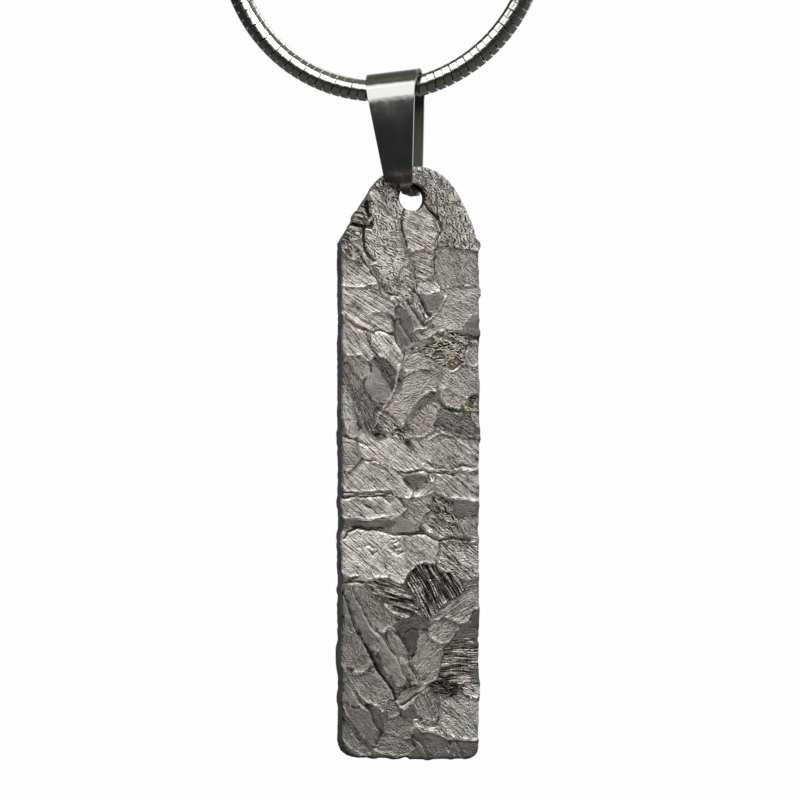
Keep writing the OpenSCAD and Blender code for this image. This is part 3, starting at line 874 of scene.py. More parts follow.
@dataclass
class MeteoriteBar:
    """The flat iron bar: sawn edges, an arched head with one hole, and etched faces. In metres and degrees.

    What shapes its surface is in millimetres, as the chart is.
    """

    length: float = 42.7 * MM
    width: float = 10.0 * MM
    thick: float = 2.0 * MM
    crown_r: float = 3.5 * MM
    crown_side: float = 0.3 * MM
    crown_angle: float = 57.0
    left_turn: float = 4.0
    right_turn: float = 21.0
    foot_left_r: float = 1.4 * MM
    foot_right_r: float = 0.9 * MM
    hole_d: float = 1.9 * MM
    hole_depth: float = 2.25 * MM
    hole_side: float = 0.2 * MM
    mesh_cell: float = 0.1 * MM
    side_cuts: int = 5
    crown_cuts: int = 14
    flank_cuts: int = 6
    # From here on in millimetres
    chart_side: float = 0.08
    map_cell: float = 0.05
    map_margin: float = 0.2
    edge_round: float = 0.07
    ragged: float = 0.08
    full: float = 0.05
    slant: float = 0.17
    rim_w: float = 0.11
    groove_depth: float = 0.1
    lip_height: float = 0.04
    # A patch ends past this share of its size, and the bare field between the plates starts
    patch_edge: float = 1.25
    patch_power: float = 2.6
    field_tone: float = 0.36
    field_share: float = 0.1
    grain_stretch: float = 14.0
    sway: float = 0.025
    striated_sway: float = 0.08
    albedo_gain: float = 1.32
    albedo_power: float = 1.62
    finish: EtchedIron = EtchedIron()

    def flank(self, side: int) -> tuple[float, float, float, float]:
        """Works out one flank of the head, an arc that leaves the crown along its tangent.

        Args:
            side: -1 for the left flank, 1 for the right one.

        Returns:
            The arc's radius, the place of its middle across and down, and the angle where it ends.
        """
        crown = math.radians(self.crown_angle)
        end = crown + math.radians(self.left_turn if side < 0 else self.right_turn)
        half = self.width / 2 - side * self.crown_side
        radius = (half - self.crown_r * math.sin(crown)) / (math.sin(end) - math.sin(crown))
        across = self.crown_side - side * (radius - self.crown_r) * math.sin(crown)
        down = self.crown_r + (radius - self.crown_r) * math.cos(crown)
        return radius, across, down, end

    def build(self) -> bpy.types.Object:
        """Builds and dresses the bar.

        Returns:
            The finished piece.
        """
        shape = self.sheet()
        self.pierce(shape)
        bmesh.ops.solidify(shape, geom=shape.faces[:], thickness=self.thick)
        self.cut_sides(shape)
        bmesh.ops.recalc_face_normals(shape, faces=shape.faces[:])
        piece = finish_piece("iron_bar", shape, self.finish.material(), smooth_angle=180.0)
        self.carve(piece.data)
        piece.data.transform(self.place())
        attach(piece, "bar")
        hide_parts("bar")
        return piece

    def place(self) -> Matrix:
        """Works out where the bar hangs, from its hinge.

        Returns:
            The matrix from the bar's own frame, with the hole's middle at the origin.
        """
        pivot, front = joint_place("bar_swing")
        across = Vector((-front.y, front.x, 0.0))
        return turned_to(across, -front, Vector((0.0, 0.0, 1.0)), pivot)

    def tangents(self) -> list[tuple[Vector, Vector]]:
        """Lists a point and outward direction for each cut that trims the sheet to the outline.

        Returns:
            Pairs of a point and a direction in the XZ plane, with the head's top at the origin.
        """
        cuts = []
        for side in (-1, 1):
            radius, across, down, end = self.flank(side)
            crown = math.radians(self.crown_angle)
            for step in range(self.crown_cuts):
                angle = crown * (step + 0.5) / self.crown_cuts
                out = Vector((side * math.sin(angle), 0, math.cos(angle)))
                cuts.append((Vector((self.crown_side, 0, -self.crown_r)) + out * self.crown_r, out))
            for step in range(self.flank_cuts):
                angle = crown + (end - crown) * (step + 0.5) / self.flank_cuts
                out = Vector((side * math.sin(angle), 0, math.cos(angle)))
                cuts.append((Vector((across, 0, -down)) + out * radius, out))
            foot_r = self.foot_right_r if side > 0 else self.foot_left_r
            centre = Vector((side * (self.width / 2 - foot_r), 0, foot_r - self.length))
            for angle in range(12, 90, 13):
                out = Vector((side * math.sin(math.radians(angle)), 0, -math.cos(math.radians(angle))))
                cuts.append((centre + out * foot_r, out))
        return cuts

    def sheet(self) -> bmesh.types.BMesh:
        """Lays out the front face as a fine grid trimmed to the outline.

        Returns:
            The sheet in the XZ plane, with the hole's middle at the origin.
        """
        shape = bmesh.new()
        columns = round(self.width / self.mesh_cell)
        rows = round(self.length / self.mesh_cell)
        fit = (Matrix.Translation((0, 0, -self.length / 2)) @ Matrix.Rotation(math.pi / 2, 4, "X")
               @ Matrix.Diagonal((self.width, self.length, 1, 1)))
        bmesh.ops.create_grid(shape, x_segments=columns, y_segments=rows, size=0.5, matrix=fit)
        for point, out in self.tangents():
            near = [f for f in shape.faces if (f.calc_center_median() - point).dot(out) > -self.mesh_cell]
            around = {v for f in near for v in f.verts}
            edges = {e for f in near for e in f.edges}
            bmesh.ops.bisect_plane(shape, geom=[*around, *edges, *near], dist=TINY, plane_co=point,
                                   plane_no=out, clear_outer=True)
        bmesh.ops.translate(shape, verts=shape.verts[:],
                            vec=(-self.hole_side, -self.thick / 2, self.hole_depth))
        return shape

    def pierce(self, shape: bmesh.types.BMesh) -> None:
        """Opens the hole in the sheet and rounds its rim.

        Args:
            shape: the sheet, with the hole's middle at the origin.
        """
        radius = self.hole_d / 2
        gone = [f for f in shape.faces if f.calc_center_median().xz.length < radius]
        bmesh.ops.delete(shape, geom=gone, context="FACES")
        for vert in shape.verts:
            reach = math.hypot(vert.co.x, vert.co.z)
            if vert.is_boundary and reach < radius + 2 * self.mesh_cell:
                vert.co.x *= radius / reach
                vert.co.z *= radius / reach

    def cut_sides(self, shape: bmesh.types.BMesh) -> None:
        """Cuts the sawn edge and the bore into bands, so that they can be carved."""
        across = [e for e in shape.edges if abs(e.verts[0].co.y - e.verts[1].co.y) > self.thick / 2]
        bmesh.ops.subdivide_edges(shape, edges=across, cuts=self.side_cuts)

    def edge_distance(self, x: np.ndarray, depth: np.ndarray) -> np.ndarray:
        """Measures how far inside the outline each place lies.

        Args:
            x: places across in millimetres.
            depth: places below the head's top in millimetres.

        Returns:
            Distances in millimetres.
        """
        half = self.width / 2 / MM
        inside = np.minimum(half - np.abs(x), self.length / MM - depth)
        for side in (-1, 1):
            radius, flank_x, flank_depth = (v / MM for v in self.flank(side)[:3])
            flank = radius - np.hypot(x - flank_x, depth - flank_depth)
            inside = np.where(depth < flank_depth, np.minimum(inside, flank), inside)
        crown_r = self.crown_r / MM
        from_crown = x - self.crown_side / MM
        crown = crown_r - np.hypot(from_crown, depth - crown_r)
        over = depth < crown_r - np.abs(from_crown) / math.tan(math.radians(self.crown_angle))
        inside = np.where(over, crown, inside)
        for side, radius in ((-1, self.foot_left_r / MM), (1, self.foot_right_r / MM)):
            u = side * x - (half - radius)
            v = depth - (self.length / MM - radius)
            corner = radius - np.hypot(u, v)
            inside = np.where((u > 0) & (v > 0), corner, inside)
        return inside

    def etch_map(self) -> EtchMap:
        """Works out the front face's height, etch and grain from the chart.

        Returns:
            The maps.
        """
        margin = self.width / 2 / MM + self.map_margin
        columns = round(2 * margin / self.map_cell) + 1
        rows = round((self.length / MM + self.map_margin) / self.map_cell) + 1
        x, depth = np.meshgrid(np.arange(columns) * self.map_cell - margin, np.arange(rows) * self.map_cell)
        # The chart's plain outlines are bent in long and short waves
        warped_x, warped_depth = (
            plain + 0.12 * blotches(x, depth, 0.9, seed) + 0.05 * blotches(x, depth, 0.26, seed + 2)
            for plain, seed in ((x, 3), (depth, 7)))
        owner, best, second = self.owners(warped_x, warped_depth)
        work = np.array([(*p.etch.value, p.tone, p.wide / 2, math.radians(p.grain)) for p in PATCHES])
        bite, hatch, pits, bronze, tone, half_wide, grain = (column[owner] for column in work.T)
        field = best > self.patch_edge
        rim = np.abs(self.patch_edge - best) * half_wide
        rim = np.where(field, rim, np.minimum((second - best) * half_wide / 2, rim))
        tone = np.where(field, self.field_tone, tone)
        hatch, pits, bronze = (np.where(field, self.field_share, share) for share in (hatch, pits, bronze))
        height = -np.where(field, 0.0, bite) * ease(0.0, self.rim_w, rim)
        along = (x * np.cos(grain) + depth * np.sin(grain)) / self.grain_stretch
        sway = np.where(hatch > 1, self.striated_sway, self.sway)
        across = -x * np.sin(grain) + depth * np.cos(grain) + sway * blotches(x, depth, 0.7, 27)
        # The hatching and the pits stand in a slow unevenness, and the tone wanders too
        height += 0.012 * hatch * blotches(across, along, 0.2, 9)
        height += 0.014 * pits * blotches(x, depth, 0.3, 21) + 0.012 * blotches(x, depth, 0.5, 23)
        tone = tone * (1 + 0.1 * blotches(x, depth, 0.6, 31) + 0.07 * blotches(x, depth, 1.7, 33))
        cut, lip = (self.nearest(traces, warped_x, warped_depth) for traces in (GROOVES, LIPS))
        height -= self.groove_depth * (1 - ease(-0.05, 0.07, cut))
        height += self.lip_height * (1 - ease(-0.05, 0.1, lip))
        for stain in STAINS:
            near = np.hypot(warped_x - stain.x, warped_depth - stain.depth) / (stain.wide / 2)
            bronze = np.maximum(bronze, stain.strength * (1 - ease(0.4, 1.1, near)))
        light = np.clip(self.albedo_gain * np.clip(tone, 0.05, 1) ** self.albedo_power, 0, 1)
        etch = np.stack([light, hatch, pits, bronze], axis=-1)
        # The third number gives each patch its own cut of the pattern
        layer = np.stack([along, across, (owner % 17) * 2.3], axis=-1)
        seams = np.stack([np.minimum(rim, SEAM_END), cut, lip], axis=-1)
        return EtchMap(self.map_cell, margin, height, etch, layer, seams)

    def owners(self, x: np.ndarray, depth: np.ndarray) -> tuple[np.ndarray, np.ndarray, np.ndarray]:
        """Finds the patch that each place belongs to.

        Args:
            x: places across in millimetres.
            depth: places down in millimetres.

        Returns:
            The patch's number, how far the place lies from its middle as a share of its size, and how far it
            lies from the next patch of another family.
        """
        best, second = np.full(x.shape, 9.0), np.full(x.shape, 9.0)
        owner = np.zeros(x.shape, int)
        # Mottled patches run into one another without a rim, so they count as one family
        family = np.array([-1 if p.etch is Etch.MOTTLED else n for n, p in enumerate(PATCHES)])
        for number, patch in enumerate(PATCHES):
            away = self.patch_reach(patch, x, depth)
            closer = away < best
            apart = family[owner] != family[number]
            second = np.where(apart, np.minimum(second, np.where(closer, best, away)), second)
            owner = np.where(closer, number, owner)
            best = np.minimum(best, away)
        return owner, best, second

    def patch_reach(self, patch: Patch, x: np.ndarray, depth: np.ndarray) -> np.ndarray:
        """Measures how far each place lies from a patch's middle, as a share of the patch's size.

        Args:
            patch: the plate or field.
            x: places across in millimetres.
            depth: places down in millimetres.

        Returns:
            Less than 1 inside the patch, more outside it.
        """
        tilt = math.radians(patch.tilt)
        u = (x - patch.x) * math.cos(tilt) + (depth - patch.depth) * math.sin(tilt)
        v = -(x - patch.x) * math.sin(tilt) + (depth - patch.depth) * math.cos(tilt)
        power = self.patch_power
        return (np.abs(2 * u / patch.long) ** power + np.abs(2 * v / patch.wide) ** power) ** (1 / power)

    def nearest(self, traces: tuple[Trace, ...], x: np.ndarray, depth: np.ndarray) -> np.ndarray:
        """Measures each place's distance from the nearest of some grooves or lips.

        Args:
            traces: the grooves or lips.
            x: places across in millimetres.
            depth: places down in millimetres.

        Returns:
            Distances from their edges in millimetres, less than 0 inside them.
        """
        reach = np.full(x.shape, 2.0)
        for trace in traces:
            for (x0, d0), (x1, d1) in zip(trace.points, trace.points[1:]):
                run = (x1 - x0) ** 2 + (d1 - d0) ** 2
                share = np.clip(((x - x0) * (x1 - x0) + (depth - d0) * (d1 - d0)) / run, 0, 1)
                away = np.hypot(x - x0 - share * (x1 - x0), depth - d0 - share * (d1 - d0))
                reach = np.minimum(reach, away - 0.3 * trace.width)
        return reach

    def carve(self, mesh: bpy.types.Mesh) -> None:
        """Carves the faces and sawn edges, and stores the etch and grain for the finish.

        Args:
            mesh: the plain bar in its own frame.
        """
        places = vertex_places(mesh)
        across, through = places[:, 0] + self.hole_side / MM, places[:, 1]
        depth = self.hole_depth / MM - places[:, 2]
        half = self.thick / 2 / MM
        # What lies this close to a face's plane belongs to the face, and the rest is sawn
        near = 0.01
        front = through < -half + near
        back = through > half - near
        face_map = self.etch_map()
        map_x = np.where(back, -across, across) - self.chart_side
        map_depth = np.where(back, self.length / MM - depth, depth)
        height, etch, grain, seams = (face_map.sample(layer, map_x, map_depth) for layer in (
            face_map.height, face_map.etch, face_map.grain, face_map.seams))
        inside = self.edge_distance(across, depth)
        hole = np.hypot(places[:, 0], places[:, 2]) - self.hole_d / 2 / MM
        rounding = self.edge_round * (1 - ease(0.0, 0.15, np.minimum(inside, hole * 1.4)))
        height = height - rounding
        through = np.where(front, -half - height, np.where(back, half + height, through))
        self.roughen_sides(places, across, inside, depth)
        side = ~(front | back)
        etch[side] = SAWN_ETCH
        seams[side] = EDGE_MARK
        bore = side & (hole < 0.3)
        seams[bore] = BORE_MARK
        # The saw's scratches run through the bar's thickness
        grain[side] = np.stack([through / 6, depth + across * 0.6, across * 0.1], axis=-1)[side]
        places[:, 1] = through
        mesh.vertices.foreach_set("co", (places * MM).ravel())
        for name, kind, key, values in (
                ("etch", "FLOAT_COLOR", "color", etch), ("grain", "FLOAT_VECTOR", "vector", grain),
                ("seams", "FLOAT_VECTOR", "vector", seams)):
            mesh.attributes.new(name, kind, "POINT").data.foreach_set(key, values.ravel())
        mesh.update()

    def roughen_sides(self, places: np.ndarray, across: np.ndarray, inside: np.ndarray,
                      depth: np.ndarray) -> None:
        """Pushes the outline in and out where plates end at the sawn edge.

        Args:
            places: every vertex in millimetres, changed in place.
            across: each vertex's distance right of the bar's middle.
            inside: each vertex's distance inside the outline.
            depth: each vertex's depth below the head's top.
        """
        through = places[:, 1].copy()
        step = 0.02
        slope_x, slope_z = (
            (self.edge_distance(across + aside, depth + down)
             - self.edge_distance(across - aside, depth - down)) / (2 * step)
            for aside, down in ((step, 0.0), (0.0, -step)))
        run = depth - 0.6 * np.abs(across)
        right = ease(-1.5, 1.5, across)
        swell = np.zeros(len(depth))
        for size, weight, seed in SAW_WAVES:
            swell += weight * (1 - right) * blotches(through * 0.5, run, size, seed)
            swell += weight * right * blotches(through * 0.5, run, size, seed + 10)
        push = self.full + self.ragged * swell
        for nick in NICKS:
            place = depth if nick.side else across
            reached = nick.side * across > 0 if nick.side else depth > self.length / MM - 1
            away = np.abs(place - nick.place) / (nick.long / 2)
            push += nick.push * (1 - ease(0.3, 1.0, away)) * reached
        # The left edge was sawn out of square, so the front shows a wider strip of it
        nearer = 0.5 - through / self.thick * MM
        push -= self.slant * nearer * (across < 0) * ease(4.5, 6.5, depth)
        push *= 1 - ease(0.0, 0.5, inside)
        places[:, 0] -= slope_x * push
        places[:, 2] -= slope_z * push


@dataclass
class StripBail:
    """The bail: a strip that tapers down two legs from its arch over the chain to two prongs.

    In metres and degrees.
    """

    drop: float = 7.52 * MM
    top_w: float = 3.85 * MM
    foot_w: float = 2.0 * MM
    strip_t: float = 0.28 * MM
    tab_h: float = 0.77 * MM
    tab_w: float = 0.9 * MM
    tab_side: float = 0.5 * MM
    prong_w: float = 0.64 * MM
    prong_side: float = 0.2 * MM
    prong_gap: float = 0.4 * MM
    bend_r: float = 0.2 * MM
    edge_r: float = 0.13 * MM
    edge_row: float = 0.18 * MM
    flare: float = 0.065 * MM
    flare_l: float = 2.5 * MM
    drift: float = 0.08 * MM
    hang_side: float = 0.13 * MM
    leg_rows: int = 14
    bend_step: int = 15
    arch_lean: int = 3
    arch_step: int = 4

    def __post_init__(self) -> None:
        """Takes the gap between the legs and the arch's middle from the CAD bail."""
        low, high = local_box("bail", self.place())
        self.gap = high.y - low.y - 2 * self.strip_t
        self.arch_z = high.z - self.strip_t - self.gap / 2

    def build(self) -> bpy.types.Object:
        """Builds and dresses the bail.

        Returns:
            The finished piece.
        """
        shape = bmesh.new()
        stations = self.half_route()
        stations += [(-y, z, w, s) for y, z, w, s in reversed(stations[:-1])]
        self.lay_strip(shape, stations)
        bmesh.ops.solidify(shape, geom=shape.faces[:], thickness=-self.strip_t)
        bmesh.ops.recalc_face_normals(shape, faces=shape.faces[:])
        break_edges(shape, 50.0, self.edge_r, 1)
        self.mark_rolled(shape)
        piece = finish_piece("bail_strip", shape, Steel.POLISHED.material(), smooth_angle=38.0)
        piece.data.materials.append(Steel.ROLLED.material())
        self.paint_foot_reflection(piece.data)
        piece.data.transform(self.place())
        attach(piece, "bail")
        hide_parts("bail")
        return piece

    def place(self) -> Matrix:
        """Works out where the bail hangs, from its hinge on the chain.

        Returns:
            The matrix from the bail's own frame, with the chain's middle at the origin.
        """
        pivot, along = joint_place("bail_swing")
        return turned_to(along, Vector((0.0, 1.0, 0.0)), Vector((-along.z, 0.0, along.x)), pivot)

    def width_at(self, z: float) -> float:
        """Works out a leg's width at a height.

        Args:
            z: the height in the bail's own frame.

        Returns:
            The width in metres.
        """
        top = self.arch_z + self.gap / 2 + self.strip_t
        foot = self.tab_h - self.drop
        return self.foot_w + (self.top_w - self.foot_w) * (z - foot) / (top - foot)

    def half_route(self) -> list[tuple[float, float, float, float]]:
        """Follows the strip's outside from a prong's tip up its leg to the top of the arch.

        Returns:
            Stations of depth, height, width and distance right of the leg's middle, in metres.
        """
        outer = self.gap / 2 + self.strip_t
        bend = self.bend_r + self.strip_t
        bend_z = self.strip_t / 2 + self.bend_r - self.drop
        foot = self.tab_h - self.drop
        step = self.edge_row
        prong, tab = (self.prong_w, self.prong_side), (self.tab_w, self.tab_side)
        route = [(-self.prong_gap / 2, bend_z - bend, *prong), (bend - outer, bend_z - bend, *prong)]
        for angle in range(self.bend_step, 90, self.bend_step):
            a = math.radians(angle)
            route.append((bend - outer - bend * math.sin(a), bend_z - bend * math.cos(a), *prong))
        route.append((-outer, bend_z - step / 2, *prong))
        route.append((-outer, bend_z + step / 2, *tab))
        route.append((-outer, foot - step, *tab))
        top = self.arch_z + outer * math.sin(math.radians(self.arch_lean))
        for part in range(self.leg_rows + 1):
            z = foot + (top - foot) * part / self.leg_rows
            rest = max(0.0, 1 - (top - z) / self.flare_l)
            route.append((-outer - self.flare * (1 - rest ** 2), z, self.width_at(z), 0.0))
        for angle in range(2 * self.arch_lean, 91, self.arch_step):
            a = math.radians(angle)
            z = self.arch_z + outer * math.sin(a)
            route.append((-outer * math.cos(a), z, self.width_at(z), 0.0))
        # The strip hangs a little to the left and leans further on its way down, and only its prongs stay put
        high = route[-1][1]
        return [(y, z, w, s - (z > bend_z) * (self.hang_side + self.drift * (high - z) / self.drop))
                for y, z, w, s in route]

    def across(self, width: float, side: float) -> list[float]:
        """Places one row of the strip's vertices, with a narrow row along each edge."""
        inner = width / 2 - self.edge_row
        return [side + x for x in (-width / 2, -inner, -inner / 2, 0.0, inner / 2, inner, width / 2)]

    def lay_strip(self, shape: bmesh.types.BMesh, stations: list[tuple[float, float, float, float]]) -> None:
        """Draws the strip out along its route from one edge.

        Args:
            shape: an empty bmesh.
            stations: depth, height, width and side along the route.
        """
        y, z, width, side = stations[0]
        row = [shape.verts.new((x, y, z)) for x in self.across(width, side)]
        edges = [shape.edges.new(pair) for pair in zip(row, row[1:])]
        for y, z, width, side in stations[1:]:
            row, edges = grow_row(shape, edges)
            row.sort(key=lambda v: v.co.x)
            for vert, x in zip(row, self.across(width, side)):
                vert.co = (x, y, z)

    def mark_rolled(self, shape: bmesh.types.BMesh) -> None:
        """Gives the strip's inside, tabs and prongs the rolled finish instead of the polished one.

        Args:
            shape: the solid strip in its own frame.
        """
        middle = self.gap / 2 + self.strip_t / 2
        for face in shape.faces:
            at = face.calc_center_median()
            reach = abs(at.y) if at.z < self.arch_z else math.hypot(at.y, at.z - self.arch_z)
            face.material_index = int(reach < middle or at.z < self.tab_h - self.drop - self.edge_r)

    def paint_foot_reflection(self, mesh: bpy.types.Mesh) -> None:
        """Marks where a brown reflection is painted on the polish, at the right of each leg's foot.

        Args:
            mesh: the strip in its own frame.
        """
        across, _, height = vertex_places(mesh).T
        foot = (self.tab_h - self.drop) / MM
        # The painted brown reflection fades up the leg and towards its left
        amount = (1 - ease(0.1, 1.1, height - foot)) * ease(-0.9, 0.0, across)
        mesh.attributes.new("painted_reflection", "FLOAT", "POINT").data.foreach_set("value", amount)


@dataclass
class SnakeChain:
    """The necklace: short round links set close, along a curve that carries the bail.

    In metres and degrees.
    """

    diameter: float = 1.55 * MM
    length: float = 450.0 * MM
    droop_r: float = 11.4 * MM
    droop_angle: float = 65.0
    clasp_d: float = 3.0 * MM
    clasp_l: float = 12.0 * MM
    socket_l: float = 2.5 * MM
    clasp_lead: float = 1.0 * MM
    link_pitch: float = 0.63 * MM
    link_bore: float = 1.1 * MM
    shoulder: float = 0.035 * MM
    lean: float = 0.14 * MM
    ripple: float = 0.05 * MM
    ripples: int = 4
    tilt: float = 0.8
    sides: int = 12

    def __post_init__(self) -> None:
        """Works out the neck's curve, whose radius gives the loop its whole length."""
        self.beta = math.radians(self.droop_angle)
        self.top_run = self.clasp_l + 2 * self.clasp_lead
        slack = self.length - 2 * self.beta * self.droop_r - self.top_run / math.cos(self.beta) - self.top_run
        slack += 2 * self.droop_r * math.tan(self.beta)
        self.neck_r = slack / (2 * math.tan(self.beta) + 2 * (math.pi - self.beta))
        reach = self.neck_r - self.droop_r
        self.side_l = (self.top_run / 2 + reach * math.sin(self.beta)) / math.cos(self.beta)
        self.neck_z = self.clasp_d / 2 - self.neck_r
        self.droop_z = self.neck_z - reach * math.cos(self.beta) - self.side_l * math.sin(self.beta)

    def build(self) -> bpy.types.Object:
        """Builds and dresses the chain.

        Returns:
            The finished piece.
        """
        run = self.length - self.top_run + 2 * (self.clasp_lead + self.socket_l - self.lean - self.ripple)
        links = round(run / self.link_pitch)
        pitch = run / links
        link = bpy.data.meshes.new("snake_link")
        self.link(pitch).to_mesh(link)
        shape = bmesh.new()
        for number in range(links):
            copy = link.copy()
            tilt = Matrix.Rotation(math.radians(self.tilt * (-1) ** number), 4, "Z")
            copy.transform(self.place_at((number + 0.5) * pitch - run / 2) @ tilt)
            shape.from_mesh(copy)
            bpy.data.meshes.remove(copy)
        bpy.data.meshes.remove(link)
        piece = finish_piece("snake_chain", shape, Steel.TUMBLED.material(), smooth_angle=35.0)
        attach(piece, "necklace")
        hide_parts("chain")
        return piece

    def link(self, pitch: float) -> bmesh.types.BMesh:
        """Turns one link: a short ring with rounded shoulders, whose ends lean and ripple.

        Args:
            pitch: distance from link to link.

        Returns:
            The link along X about the origin.
        """
        rim = self.diameter / 2
        # Places along the link as a share of the pitch, and radii
        right = ((0.41, rim), (0.46, rim - self.shoulder), (0.49, self.link_bore / 2))
        profile = [(-x, r) for x, r in reversed(right)] + list(right)
        shape = bmesh.new()
        ring = bmesh.ops.create_circle(shape, cap_ends=False, segments=self.sides, radius=1.0,
                                       matrix=Matrix.Rotation(math.pi / 2, 4, "Y"))["verts"]
        first = list({e for v in ring for e in v.link_edges})
        self.size_ring(ring, profile[0], pitch)
        edges = first
        for row in profile[1:]:
            ring, edges = grow_row(shape, edges)
            self.size_ring(ring, row, pitch)
        bmesh.ops.bridge_loops(shape, edges=first + edges)
        bmesh.ops.recalc_face_normals(shape, faces=shape.faces[:])
        return shape

    def size_ring(self, ring: list[bmesh.types.BMVert], row: tuple[float, float], pitch: float) -> None:
        """Sets one ring of a link to its radius and its leaning, rippled place.

        Args:
            ring: the ring's vertices.
            row: its place along the link as a share of the pitch, and its radius.
            pitch: distance from link to link.
        """
        for vert in ring:
            turn = math.atan2(vert.co.z, -vert.co.y)
            wave = self.ripple * math.cos(self.ripples * turn)
            vert.co.x = row[0] * pitch + self.lean * math.sin(turn) + wave
            vert.co.y = -row[1] * math.cos(turn)
            vert.co.z = row[1] * math.sin(turn)

    def place_at(self, run: float) -> Matrix:
        """Finds the chain's place at a distance along it.

        Args:
            run: distance from the lowest point, negative to the left.

        Returns:
            The matrix whose X runs along the chain and whose Z points into the loop.
        """
        side = -1.0 if run < 0 else 1.0
        rest = abs(run)
        if rest < self.beta * self.droop_r:
            angle = rest / self.droop_r
            x, z = self.droop_r * math.sin(angle), self.droop_z - self.droop_r * math.cos(angle)
        elif rest < self.beta * self.droop_r + self.side_l:
            angle = self.beta
            rest -= self.beta * self.droop_r
            x = self.droop_r * math.sin(angle) + rest * math.cos(angle)
            z = self.droop_z - self.droop_r * math.cos(angle) + rest * math.sin(angle)
        else:
            rest -= self.beta * self.droop_r + self.side_l
            angle = min(math.pi, self.beta + rest / self.neck_r)
            rest = max(0.0, rest - (math.pi - self.beta) * self.neck_r)
            x = self.top_run / 2 + self.neck_r * math.sin(angle) - rest
            z = self.neck_z - self.neck_r * math.cos(angle)
        along = Vector((math.cos(angle), 0.0, side * math.sin(angle)))
        inward = Vector((-side * math.sin(angle), 0.0, math.cos(angle)))
        return turned_to(along, Vector((0.0, 1.0, 0.0)), inward, Vector((side * x, 0.0, z)))


@dataclass
class BarrelClasp:
    """The clasp at the nape: a turned barrel with a seam and a socket for each chain end. In metres."""

    diameter: float = 3.0 * MM
    length: float = 12.0 * MM
    chain_d: float = 1.55 * MM
    socket_l: float = 2.5 * MM
    socket_clear: float = 0.08 * MM
    rim: float = 0.3 * MM
    seam_w: float = 0.3 * MM
    seam_depth: float = 0.15 * MM
    edge_r: float = 0.04 * MM
    sides: int = 64

    def build(self) -> bpy.types.Object:
        """Builds and dresses the clasp.

        Returns:
            The finished piece.
        """
        shape = bmesh.new()
        half, radius = self.length / 2, self.diameter / 2
        bore = self.chain_d / 2 + self.socket_clear
        seam = self.seam_w / 2
        right = [(seam, radius - self.seam_depth), (seam, radius), (half - self.rim, radius),
                 (half, radius - self.rim), (half, bore), (half - self.socket_l, bore),
                 (half - self.socket_l, 0.0)]
        profile = [(-x, r) for x, r in reversed(right)] + right
        verts = [shape.verts.new((x, 0.0, r)) for x, r in profile]
        edges = [shape.edges.new(pair) for pair in zip(verts, verts[1:])]
        bmesh.ops.spin(shape, geom=verts + edges, cent=(0, 0, 0), axis=(1, 0, 0), angle=2 * math.pi,
                       steps=self.sides, use_merge=True)
        bmesh.ops.remove_doubles(shape, verts=shape.verts[:], dist=MERGE)
        bmesh.ops.recalc_face_normals(shape, faces=shape.faces[:])
        break_edges(shape, 35.0, self.edge_r, 2)
        bmesh.ops.translate(shape, verts=shape.verts[:], vec=(0, 0, radius))
        piece = finish_piece("barrel_clasp", shape, Steel.BRUSHED.material())
        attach(piece, "necklace")
        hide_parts("clasp")
        return piece


class Softbox(NamedTuple):
    """A soft light that faces the pendant: its angles in degrees, and its distance and size in metres.

    The azimuth counts to the right of the front. A radiance of 1 is white.
    """

    name: str
    azimuth: float
    elevation: float
    distance: float
    width: float
    height: float
    radiance: float


SOFTBOXES = (
    Softbox("key", -8, 37, 0.5, 0.44, 0.4, 1.75),
    Softbox("face", 32, 36, 0.45, 0.26, 0.3, 6.8),
    Softbox("left", -62, 48, 0.5, 0.35, 0.35, 1.6),
    Softbox("side", 95, 14, 0.5, 0.3, 0.28, 2.0),
    Softbox("back", 162, 38, 0.6, 0.4, 0.2, 1.7),
)


